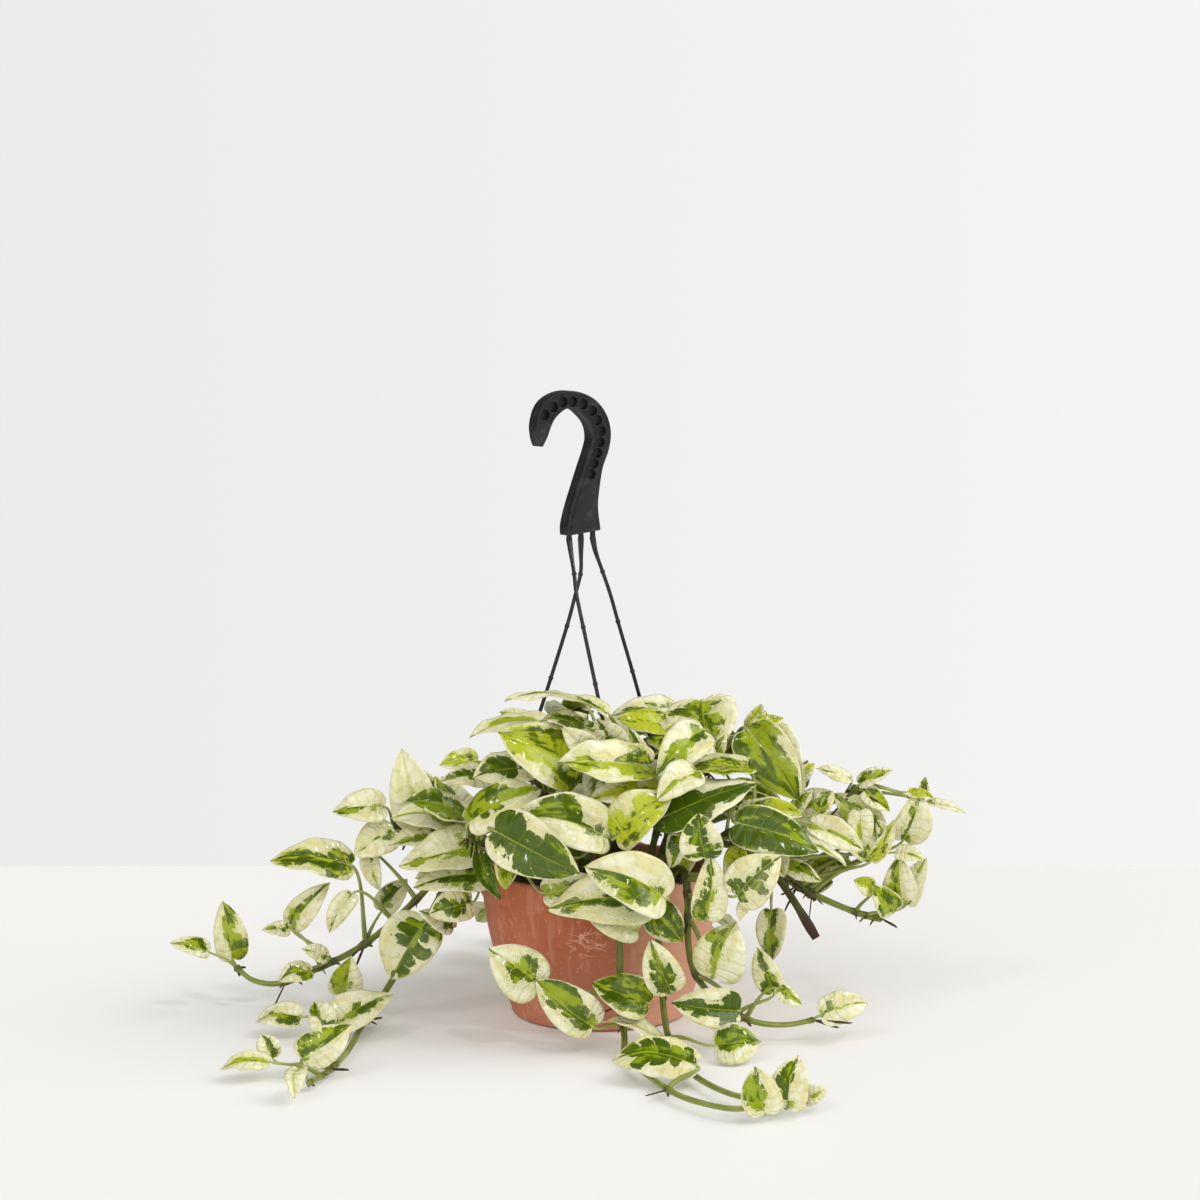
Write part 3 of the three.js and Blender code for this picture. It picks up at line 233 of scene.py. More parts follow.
PLANTS: tuple[Plant, ...] = (
    Plant("crown_middle", radius=(2.8, 2), sheet=-50, path=(
        (10, 0, 78), (10, 0, 100), (10, -5, 140), (12, -12, 170), (16, -18, 190),
    ), leaves=(
        Leaf(0.9, (3, -62, 216), (-63, -58, 228), 78, PALE, 0.34),
        Leaf(0.72, (-14, -62, 180), (-67, -78, 203), 20, LIME_HEART, 0.72),
        Leaf(0.94, (-8, -64, 203), (-44, -50, 209), 50, MARBLED),
        Leaf(0.84, (8, -66, 190), (-8, -60, 212), 0, STREAKED, 0.8),
        Leaf(0.66, (-5, -74, 190), (-25, -78, 206), 10, PALE),
        Leaf(0.98, (50, 0, 216), (8, -10, 216), 50, LEFT, 0.6),
        Leaf(0.88, (50, -20, 208), (12, -30, 212), 45, LIME, 0.6),
        Leaf(1, (38, -30, 203), (80, -50, 184), 45, RIGHT, 0.7),
        Leaf(0.6, (22, -50, 172), (-2, -70, 172), 30, DARK),
        Leaf(0.5, (0, -34, 152), (-44, -44, 146), 40, MARBLED),
        Leaf(0.55, (34, -28, 158), (74, -36, 150), 40, HEART),
        Leaf(0.76, (24, 16, 196), (-28, 24, 186), 25, STREAKED, 0.7),
        Leaf(0.45, (-2, 18, 178), (-48, 20, 162), 10, DARK, 0.75),
        Leaf(0.4, (24, 10, 172), (64, 12, 152), 10, PALE, 0.75),
        Leaf(0.6, (-10, -10, 168), (-35, -20, 163), 20, DARK),
        Leaf(0.68, (21, -25, 173), (-4, -35, 163), 30, DARK, 0.7),
        Leaf(0.7, (-5, -45, 181), (-8, -55, 160), 10, MARBLED, 0.7),
        Leaf(0.42, (-10, -20, 133), (-13, -25, 110), 0, DARK),
        Leaf(0.35, (15, 10, 132), (8, 6, 108), 0, DARK),
    )),
    Plant("crown_back_left", radius=(2.7, 1.9), sheet=-50, path=(
        (-20, 5, 78), (-20, 5, 98), (-28, 0, 130), (-38, -8, 155), (-50, -15, 170),
    ), leaves=(
        Leaf(0.93, (-37, -30, 210), (-87, -50, 204), 72, PALE, 0.42),
        Leaf(0.74, (-45, -60, 177), (-86, -75, 170), 50, STREAKED, 0.7),
        Leaf(1, (-82, -10, 183), (-107, -20, 181), 45, LIME),
        Leaf(0.86, (-58, -20, 180), (-73, -20, 189), 20, RIGHT),
        Leaf(0.8, (-75, -40, 172), (-107, -50, 170), 45, STREAKED, 0.6),
        Leaf(0.67, (-40, 20, 200), (-70, 15, 212), 40, PALE),
        Leaf(0.95, (-8, -20, 210), (-40, -34, 197), 50, LIME_HEART, 0.6),
        Leaf(0.6, (-58, 26, 152), (-94, 44, 144), 80, SPOT),
        Leaf(0.5, (-36, 34, 150), (-58, 66, 140), 110, HEART),
    )),
    Plant("crown_front_left", radius=(2.7, 1.9), sheet=-50, path=(
        (-58, -30, 78), (-58, -30, 98), (-66, -45, 113), (-79, -61, 128), (-88, -70, 136),
    ), leaves=(
        Leaf(1, (-86, -80, 141), (-40, -75, 163), 40, LEFT, 0.6),
        Leaf(0.96, (-84, -85, 140), (-55, -80, 146), 20, GREEN, 0.7),
        Leaf(0.85, (-69, -95, 137), (-13, -115, 107), 10, DARK_HEART, 0.62),
        Leaf(0.7, (-60, -88, 120), (-64, -104, 96), 10, GREEN),
        Leaf(0.9, (-64, -40, 138), (-84, -50, 140), 30, DARK),
        Leaf(0.75, (-81, -66, 121), (-67, -86, 89), 10, DARK, 0.35),
    )),
    Plant("crown_left", radius=(2.7, 1.9), path=(
        (-62, 6, 78), (-62, 6, 98), (-70, 4, 112), (-80, 0, 121), (-89, -3, 129),
    ), leaves=(
        Leaf(1, (-92, -6, 134), (-119, -12, 160), 20, SPOT, 0.6),
        Leaf(0.97, (-90, 4, 136), (-108, 2, 166), 10, PALE, 0.55),
        Leaf(0.98, (-95, -10, 134), (-137, -14, 156), 50, STREAKED, 0.6),
        Leaf(0.95, (-94, -12, 128), (-142, -18, 131), 50, PALE, 0.6),
        Leaf(0.9, (-94, -15, 126), (-145, -24, 122), 65, HEART, 0.6),
        Leaf(0.8, (-81, -28, 122), (-136, -38, 109), 40, SPOT, 0.62),
        Leaf(0.7, (-88, -26, 104), (-125, -38, 101), 30, PALE, 0.65),
        Leaf(0.6, (-74, -44, 100), (-120, -58, 92), 10, MARBLED, 0.6),
    )),
    Plant("crown_front", radius=(2.7, 1.9), sheet=-50, path=(
        (0, -40, 78), (0, -40, 97), (2, -50, 115), (6, -62, 130), (12, -70, 140),
    ), leaves=(
        Leaf(0.97, (4, -95, 132), (-60, -105, 146), 25, STREAKED, 0.56),
        Leaf(0.92, (6, -85, 133), (40, -75, 161), 30, LIME, 0.7),
        Leaf(1, (33, -60, 180), (-27, -90, 185), 45, LIME_HEART, 0.5),
        Leaf(0.8, (-18, -88, 118), (-46, -98, 128), 35, HEART),
    )),
    Plant("crown_right_front", radius=(2.7, 1.9), sheet=-50, path=(
        (35, -35, 78), (35, -35, 98), (42, -48, 120), (55, -60, 138), (68, -65, 150),
    ), leaves=(
        Leaf(0.8, (38, -95, 143), (105, -75, 172), 48, DARK_HEART, 0.56),
        Leaf(0.9, (70, -110, 118), (66, -105, 149), 0, TREE, 0.95),
        Leaf(1, (38, -70, 165), (-6, -84, 160), 35, LIME, 0.55),
        Leaf(0.97, (60, -75, 177), (36, -95, 162), 30, PALE, 0.7),
        Leaf(0.85, (32, -70, 177), (27, -75, 206), 10, RIGHT, 0.5),
        Leaf(0.6, (55, -95, 135), (47, -100, 110), 60, HEART, 0.6),
        Leaf(0.55, (60, -50, 126), (56, -60, 104), 10, LIME, 0.6),
    )),
    Plant("crown_right", radius=(2.7, 1.9), sheet=-50, path=(
        (58, -20, 78), (58, -20, 98), (70, -35, 120), (88, -50, 135), (104, -57, 141),
    ), leaves=(
        Leaf(0.95, (92, -90, 141), (147, -100, 121), 10, DARK, 0.55),
        Leaf(0.92, (95, -75, 147), (136, -75, 149), 40, LIME, 0.5),
        Leaf(1, (99, -50, 178), (44, -80, 171), 55, LIME_HEART, 0.5),
        Leaf(1, (84, -45, 187), (86, -45, 203), 10, MARBLED),
        Leaf(0.7, (92, -34, 152), (134, -40, 136), 35, GREEN, 0.65),
        Leaf(0.85, (110, -80, 130), (124, -96, 104), 20, PALE, 0.7),
        Leaf(0.97, (132, -20, 149), (147, -30, 168), 15, LEFT, 0.5),
        Leaf(0.9, (142, -10, 151), (158, -12, 163), 20, MARBLED, 0.6),
        Leaf(0.93, (142, -46, 140), (178, -52, 123), 35, PALE, 0.5),
        Leaf(0.8, (129, -70, 131), (166, -84, 112), 60, MARBLED, 0.35),
        Leaf(0.75, (125, -70, 112), (149, -80, 102), 30, LEFT, 0.5),
        Leaf(0.6, (93, -70, 123), (86, -80, 99), 10, LIME, 0.6),
    )),
    Plant("crown_right_back", radius=(2.8, 2), sheet=-50, path=(
        (40, 10, 78), (40, 10, 100), (55, 8, 140), (75, 5, 170), (93, 0, 184),
    ), leaves=(
        Leaf(0.96, (97, -40, 199), (131, -60, 152), 10, HEART, 0.62),
        Leaf(0.78, (68, -8, 223), (74, -36, 186), 0, RIGHT, 1.1),
        Leaf(0.84, (62, -50, 199), (35, -75, 178), 15, MARBLED, 0.6),
        Leaf(0.9, (100, 10, 205), (111, 20, 218), 30, LIME),
        Leaf(1, (101, 0, 202), (123, 5, 214), 30, LIME),
        Leaf(0.93, (118, 0, 205), (137, -10, 158), 5, PALE, 0.5),
        Leaf(0.72, (55, -20, 203), (83, -30, 197), 40, STREAKED),
        Leaf(0.87, (100, -20, 202), (128, -35, 182), 20, GREEN, 0.6),
        Leaf(0.81, (130, 0, 172), (142, 0, 183), 20, LIME),
        Leaf(0.6, (64, 14, 178), (20, 20, 168), 20, DARK, 0.7),
        Leaf(0.55, (86, 8, 160), (128, 4, 142), 25, GREEN, 0.7),
        Leaf(0.88, (101, 5, 204), (108, 8, 220), 20, LIME, 0.7),
        Leaf(0.9, (134, 0, 166), (139, 4, 184), 20, GREEN, 0.6),
        Leaf(0.5, (72, 40, 152), (102, 66, 142), 105, DARK),
        Leaf(0.65, (84, 34, 178), (122, 50, 166), 90, HEART),
    )),
    Plant("vine_left_reach", radius=(2.9, 1.7), path=(
        (-40, 20, 78), (-40, 20, 98), (-62, 24, 122), (-88, 20, 120), (-113, 9, 93), (-127, 3, 77),
        (-162, 0, 47), (-199, -3, 28), (-221, -5, 20), (-239, -5, 22), (-252, -5, 32),
    ), leaves=(
        Leaf(0.99, (-255, 3, 36), (-262, 8, 75), 0, RIGHT, 0.6),
        Leaf(1, (-270, -8, 43), (-295, -12, 51), 35, HEART, 0.55),
        Leaf(0.6, (-172, -4, 103), (-226, -8, 109), 40, LIME_HEART, 0.55),
        Leaf(0.66, (-213, 2, 60), (-187, -2, 90), 20, LEFT, 0.5),
        Leaf(0.68, (-214, -8, 59), (-232, -12, 60), 30, STREAKED),
        Leaf(0.55, (-170, -12, 84), (-186, -16, 58), 20, STREAKED, 0.5),
        Leaf(0.74, (-188, -14, 40), (-204, -18, 48), 30, SPOT),
        Leaf(0.78, (-198, -16, 30), (-221, -20, 26), 40, HEART),
        Leaf(0.5, (-160, 4, 110), (-152, 0, 84), 10, PALE, 0.5),
        Leaf(0.6, (-152, 18, 66), (-135, 22, 88), 20, STREAKED),
    )),
    Plant("vine_left_front", radius=(2.9, 1.7), path=(
        (-52, -8, 78), (-52, -8, 98), (-68, -13, 115), (-90, -18, 110), (-108, -18, 86), (-126, -16, 52),
        (-143, -14, 24), (-154, -34, 9), (-160, -75, 6), (-164, -125, 5), (-172, -172, 5), (-182, -204, 6),
    ), leaves=(
        Leaf(0.42, (-119, -22, 67), (-143, -28, 28), 10, TREE, 0.85),
        Leaf(0.36, (-100, -30, 66), (-122, -34, 78), 30, STREAKED),
        Leaf(0.18, (-36, -98, 104), (0, -99, 113), 15, MARBLED, 0.62),
        Leaf(0.6, (-174, -20, 16), (-170, -28, 44), 0, LEFT, 0.8),
        Leaf(0.68, (-174, -86, 14), (-138, -68, 30), 40, STREAKED, 0.7),
        Leaf(0.68, (-181, -96, 12), (-190, -86, 28), 10, HEART, 0.9),
        Leaf(0.66, (-200, -72, 14), (-231, -70, 11), 40, SPOT, 0.7),
        Leaf(0.88, (-188, -174, 14), (-158, -166, 34), 30, LEFT, 0.75),
        Leaf(0.9, (-208, -166, 12), (-216, -160, 26), 10, HEART, 0.9),
        Leaf(0.94, (-209, -176, 12), (-240, -178, 10), 60, PALE, 0.5),
        Leaf(1, (-187, -210, 17), (-187, -234, 6), 40, PALE, 0.5),
        Leaf(0.22, (-82, -45, 89), (-107, -60, 79), 20, TREE, 0.8),
    )),
    Plant("vine_left_high", radius=(2.8, 1.8), path=(
        (-42, 40, 78), (-42, 40, 98), (-60, 44, 120), (-86, 40, 120), (-110, 28, 112), (-132, 16, 118),
        (-144, 9, 130),
    ), leaves=(
        Leaf(1, (-149, 4, 142), (-184, 0, 140), 30, SPOT, 0.75),
        Leaf(0.97, (-125, 8, 130), (-137, 10, 181), 0, PALE, 0.6),
        Leaf(0.85, (-112, 10, 147), (-128, 8, 168), 20, LIME_HEART),
        Leaf(0.9, (-142, 0, 125), (-169, -6, 110), 20, PALE, 0.8),
    )),
    Plant("vine_front_centre", radius=(2.8, 1.7), path=(
        (6, -58, 78), (6, -58, 97), (9, -68, 110), (12, -84, 111), (13, -93, 92), (13, -93, 59),
        (14, -94, 28), (16, -108, 10), (17, -138, 6), (32, -190, 6), (50, -232, 6), (76, -260, 7),
        (94, -262, 8),
    ), leaves=(
        Leaf(0.5, (-40, -108, 40), (-70, -104, 62), 10, MARBLED, 0.85),
        Leaf(0.55, (-5, -112, 18), (-42, -106, 48), 15, HEART, 0.62),
        Leaf(0.48, (31, -110, 33), (-5, -106, 46), 35, GREEN, 0.8),
        Leaf(0.8, (60, -195, 10), (6, -188, 11), 50, TREE, 0.62),
        Leaf(1, (99, -268, 6), (93, -262, 33), 0, STREAKED, 0.85),
        Leaf(0.36, (24, -106, 80), (-8, -112, 90), 20, PALE, 0.6),
    )),
    Plant("vine_front_right", radius=(2.8, 1.7), path=(
        (24, -54, 78), (24, -54, 97), (28, -66, 110), (33, -82, 111), (36, -92, 92), (40, -94, 56),
        (42, -98, 24), (46, -118, 8), (54, -168, 6), (72, -214, 6), (92, -236, 6), (112, -242, 9),
    ), leaves=(
        Leaf(0.25, (42, -115, 104), (-10, -120, 126), 20, LEFT, 0.66),
        Leaf(0.3, (32, -98, 100), (-34, -108, 97), 35, MARBLED, 0.55),
        Leaf(0.34, (35, -100, 92), (54, -106, 73), 10, GREEN, 0.9),
        Leaf(0.5, (46, -120, 44), (33, -118, 77), 10, HEART, 0.7),
        Leaf(0.62, (75, -135, 10), (104, -130, 13), 30, HEART, 0.95),
        Leaf(1, (113, -258, 7), (120, -250, 37), 10, MARBLED, 0.75),
        Leaf(1, (124, -244, 8), (138, -244, 14), 20, PALE, 0.8),
        Leaf(0.7, (40, -118, 10), (2, -112, 22), 80, PALE, 0.5),
    )),
    Plant("vine_right_elbow", radius=(2.8, 1.7), path=(
        (46, -50, 78), (46, -50, 97), (51, -60, 111), (56, -76, 112), (58, -88, 95), (58, -90, 70),
        (62, -92, 50), (74, -95, 34), (92, -92, 20), (108, -90, 14), (126, -88, 13), (143, -86, 16),
    ), leaves=(
        Leaf(0.3, (90, -106, 104), (117, -110, 131), 10, TREE, 0.85),
        Leaf(0.4, (75, -102, 49), (89, -96, 84), 10, MARBLED, 0.92),
        Leaf(0.56, (90, -106, 27), (47, -112, 34), 20, DARK_HEART, 0.62),
        Leaf(0.34, (70, -104, 88), (72, -104, 131), 0, LEFT, 0.55),
        Leaf(0.72, (115, -88, 36), (104, -84, 64), 10, HEART, 0.6),
        Leaf(0.75, (119, -92, 38), (135, -96, 28), 20, GREEN),
        Leaf(1, (147, -86, 19), (178, -80, 27), 40, MARBLED, 0.7),
        Leaf(0.28, (96, -100, 98), (91, -108, 88), 20, PALE),
    )),
    Plant("vine_right_reach", radius=(3, 1.9), path=(
        (62, 5, 78), (62, 5, 98), (74, 4, 115), (96, 2, 114), (118, -2, 100), (137, -4, 88), (152, -4, 80),
        (168, -4, 73), (182, -4, 68), (195, -4, 65),
    ), cut_stem=(
        (120, -3, 98), (134, -14, 78), (148, -18, 55),
    ), leaves=(
        Leaf(0.95, (208, -6, 76), (205, -10, 110), 0, LEFT, 0.7),
        Leaf(1, (212, -2, 76), (225, 0, 107), 10, STREAKED, 0.5),
        Leaf(0.9, (201, -14, 73), (186, -20, 93), 10, HEART, 0.75),
        Leaf(0.84, (188, -22, 91), (174, -30, 96), 10, LIME, 0.9),
        Leaf(0.45, (185, -12, 114), (152, -16, 129), 30, LIME, 0.6),
        Leaf(0.5, (175, -4, 123), (151, -6, 139), 30, PALE),
        Leaf(0.55, (190, 4, 121), (161, 4, 151), 20, MARBLED, 0.6),
        Leaf(0.6, (198, -6, 120), (190, -8, 135), 10, LEFT),
        Leaf(0.56, (184, -18, 110), (198, -20, 138), 0, LIME, 0.35),
        Leaf(0.62, (209, 0, 120), (220, 2, 153), 10, SPOT, 0.72),
        Leaf(0.62, (203, -10, 113), (222, -14, 109), 40, PALE),
        Leaf(0.45, (117, -22, 75), (118, -26, 41), 10, HEART, 0.6),
        Leaf(0.42, (172, 12, 102), (143, 10, 94), 40, LIME_HEART, 0.6),
        Leaf(0.5, (176, -10, 141), (179, -16, 117), 10, PALE, 0.7),
        Leaf(0.4, (165, 14, 86), (143, 12, 78), 20, DARK, 0.6),
    )),
    Plant("vine_right_high", radius=(2.8, 1.8), path=(
        (52, 26, 78), (52, 26, 98), (68, 27, 122), (96, 24, 134), (124, 20, 138), (150, 14, 142),
        (170, 8, 148), (178, 6, 156),
    ), leaves=(
        Leaf(0.9, (179, 4, 158), (201, 2, 169), 30, MARBLED, 0.5),
        Leaf(0.84, (174, 0, 160), (152, -4, 168), 30, PALE, 0.45),
        Leaf(0.94, (182, 2, 153), (199, -2, 140), 20, LEFT),
        Leaf(0.97, (212, 4, 152), (230, 2, 148), 40, LIME, 0.45),
        Leaf(1, (226, 2, 145), (252, 0, 140), 55, PALE, 0.3),
        Leaf(0.87, (224, 8, 151), (225, 10, 162), 10, GREEN),
        Leaf(0.72, (138, 4, 141), (159, 0, 154), 30, PALE),
        Leaf(0.6, (136, -6, 126), (151, -10, 144), 20, PALE, 0.9),
        Leaf(0.54, (122, 10, 160), (142, 8, 172), 30, STREAKED),
    )),
    Plant("crown_back", radius=(2.8, 2), grown=11, first=0.35, path=(
        (0, 44, 78), (0, 44, 98), (0, 56, 130), (2, 68, 158), (0, 76, 180),
    )),
    Plant("crown_back_right", radius=(2.7, 1.9), grown=8, first=0.4, path=(
        (36, 50, 78), (36, 50, 98), (44, 64, 124), (56, 76, 144), (66, 84, 160),
    )),
    Plant("vine_back_left", radius=(2.8, 1.7), grown=8, first=0.26, path=(
        (-32, 54, 78), (-32, 54, 98), (-38, 72, 117), (-44, 94, 106), (-47, 110, 70), (-48, 124, 34),
        (-46, 144, 10), (-40, 172, 6), (-30, 198, 7),
    )),
    Plant("vine_back_middle", radius=(2.8, 1.7), grown=8, first=0.26, path=(
        (14, 60, 78), (14, 60, 98), (14, 76, 115), (12, 96, 106), (10, 114, 70), (8, 128, 34), (7, 150, 9),
        (8, 182, 6), (12, 210, 7),
    )),
    Plant("vine_back_right", radius=(2.8, 1.7), grown=8, first=0.28, path=(
        (60, 34, 78), (60, 34, 98), (62, 60, 117), (58, 90, 104), (55, 106, 70), (53, 122, 34), (54, 144, 10),
        (60, 170, 6), (64, 192, 7),
    )),
)


# Curves and draws that are shared by the pieces


def smooth(points: Sequence[Sequence[float]], shares: np.ndarray | float) -> np.ndarray:
    """Follows a smooth curve through every point of a list.

    Args:
        points: The points, of any number of coordinates.
        shares: One share or an array of shares of the way, from 0 to 1.

    Returns:
        One place for each share, with the coordinates last.
    """
    known = np.asarray(points, float)
    known = np.vstack((2 * known[0] - known[1], known, 2 * known[-1] - known[-2]))
    place = np.clip(np.asarray(shares, float), 0, 1) * (len(points) - 1)
    index = np.minimum(np.floor(place).astype(int), len(points) - 2)
    t = (place - index)[..., None]
    before, one, two, after = (known[index + step] for step in range(4))
    square = t * t
    cube = square * t
    return (
        (2 * cube - 3 * square + 1) * one
        + (cube - 2 * square + t) * (two - before) / 2
        + (3 * square - 2 * cube) * two
        + (cube - square) * (after - one) / 2
    )


def unit(way: np.ndarray) -> np.ndarray:
    """Returns a way at length 1."""
    return way / np.linalg.norm(way)


def curve_length(points: Sequence[Sequence[float]]) -> float:
    """Returns the length of the straight lines between points."""
    return float(np.linalg.norm(np.diff(np.asarray(points, float), axis=0), axis=1).sum())


class Draws:
    """Repeatable draws between 0 and 1."""

    WORD = 0xFFFFFFFF
    STRIDE = 0x6D2B79F5

    def __init__(self, seed: int) -> None:
        """Starts the draws at a seed."""
        self.state = seed & self.WORD

    def __call__(self) -> float:
        """Returns the next draw."""
        self.state = (self.state + self.STRIDE) & self.WORD
        mixed = (self.state ^ (self.state >> 15)) * (self.state | 1) & self.WORD
        mixed = (mixed ^ (mixed + (mixed ^ (mixed >> 7)) * (mixed | 61))) & self.WORD
        return (mixed ^ (mixed >> 14)) / (self.WORD + 1)

    def each(self, ranges: dict[str, tuple[float, float]]) -> dict[str, float]:
        """Draws one number from each range, in the order that they are listed."""
        return {name: least + (most - least) * self() for name, (least, most) in ranges.items()}


@dataclass(frozen=True)
class Form:
    """What sets one blade apart from the next, as shares of the blade's length.

    Attributes:
        phase: Where the edge's waves start, from 0 to 1.
        fold: How steeply the halves rise from the midrib.
        arch: How high the midrib rises in its middle.
        wave: How high the edge's waves are.
        curl: How strongly the tip droops.
        twist: How far the tip is turned against the base, in radians.
        bend: How far the midrib bends sideways.
        skew: How much wider the left half is.
    """

    phase: float
    fold: float
    arch: float
    wave: float
    curl: float
    twist: float
    bend: float
    skew: float

    @classmethod
    def drawn(cls, seed: int) -> "Form":
        """Returns the form that a leaf's seed gives."""
        draw = Draws(seed)
        return cls(draw(), **draw.each(FORM_RANGES))


@dataclass(frozen=True)
class Blade:
    """One leaf's blade in its place, with the point of the stem that it grows from.

    Attributes:
        base: Where the blade meets its stalk.
        tip: The blade's tip.
        roll: Turn of the upper face in degrees.
        width: The blade's width as a share of its length.
        facing: The way that a blade of roll 0 faces.
        look: The leaf's kind.
        root: The point of the stem that its stalk grows from.
        seed: The seed of the leaf's own draws.
    """

    CHANNEL: ClassVar[float] = 0.012
    BULGE: ClassVar[float] = 0.02
    QUILT: ClassVar[float] = 0.0075
    RIPPLE: ClassVar[float] = 0.02
    RIPPLES: ClassVar[float] = 4.3

    base: np.ndarray
    tip: np.ndarray
    roll: float
    width: float
    facing: np.ndarray
    look: Look
    root: np.ndarray
    seed: int

    @property
    def length(self) -> float:
        """The blade's length."""
        return float(np.linalg.norm(self.tip - self.base))

    @cached_property
    def form(self) -> Form:
        """The blade's own form."""
        return Form.drawn(self.seed)

    @cached_property
    def axes(self) -> tuple[np.ndarray, np.ndarray, np.ndarray]:
        """The midrib's way, the left side's way and the upper face's way."""
        along = unit(self.tip - self.base)
        angle = math.radians(self.roll)
        face = self.facing * math.cos(angle) + UP * math.sin(angle)
        face = unit(face - along * face.dot(along))
        return along, np.cross(face, along), face

    def turned(self, turn: int) -> "Blade":
        """Moves the leaf to a turn, as the solids do to keep clear of each other.

        Args:
            turn: 0 for the place as read, and more to stray further.

        Returns:
            The moved leaf.
        """
        if turn == 0:
            return self
        draw = Draws(self.seed * TURNS_APART + turn)
        stray = min(STRAY_STEP * turn, MOST_STRAY)

        def shift() -> np.ndarray:
            """Returns one small move, mostly in depth."""
            return np.array((draw() - 0.5, 3 * (draw() - 0.5), draw() - 0.5)) * stray

        whole = shift()
        tip = self.tip + whole + shift()
        roll = self.roll + (draw() - 0.5) * min(ROLL_STEP * turn, MOST_ROLL)
        return replace(self, base=self.base + whole, tip=tip, roll=roll)

    def surface(self, outline: np.ndarray, across: np.ndarray, detail: float = 0.0) -> np.ndarray:
        """Finds points of the blade's middle surface.

        Args:
            outline: Shares along the outline, from the notch (0) to the tip (1).
            across: Shares from the midrib (0) to the edge, 1 on the left and -1 on the right.
            detail: 1 adds the soft channel, the bulge and quilting of the halves, and a fine ripple at the
                edge. 0 leaves them out.

        Returns:
            One point for each pair of shares.
        """
        form = self.form
        edge = smooth(LEAF_EDGE, outline)
        rib = smooth(LEAF_RIB, outline)[..., 0]
        reach = np.abs(across)
        lengthwise = rib + (edge[..., 0] - rib) * reach
        bow = np.sin(math.pi * np.maximum(lengthwise, 0))
        sideways = edge[..., 1] * across * self.width * (1 + form.skew * np.sign(across))
        beat = WAVES * outline + form.phase + 0.4 * np.sign(across)
        wave = form.wave * reach * reach * np.sin(2 * math.pi * beat)
        droop = form.curl * np.maximum(lengthwise - CURL_START, 0) ** 2
        channel = self.CHANNEL * detail
        spread = np.sqrt(sideways**2 + channel**2) - channel
        height = form.fold * spread + form.arch * bow + wave - droop
        if detail:
            arc = 4 * reach * (1 - reach)
            quilt = self.QUILT * np.cos(2 * math.pi * VEINS * outline)
            ripple = self.RIPPLE * reach**3 * np.sin(2 * math.pi * (self.RIPPLES * outline + 3 * form.phase))
            swollen = self.BULGE * np.abs(edge[..., 1]) * 2 * self.width + quilt
            height = height + arc * swollen + ripple * bow
        turn = form.twist * lengthwise
        along, side, face = self.axes
        shares = lengthwise[..., None] * along
        shares = shares + (sideways * np.cos(turn) + form.bend * bow)[..., None] * side
        shares = shares + (height + sideways * np.sin(turn))[..., None] * face
        return self.base + shares * self.length


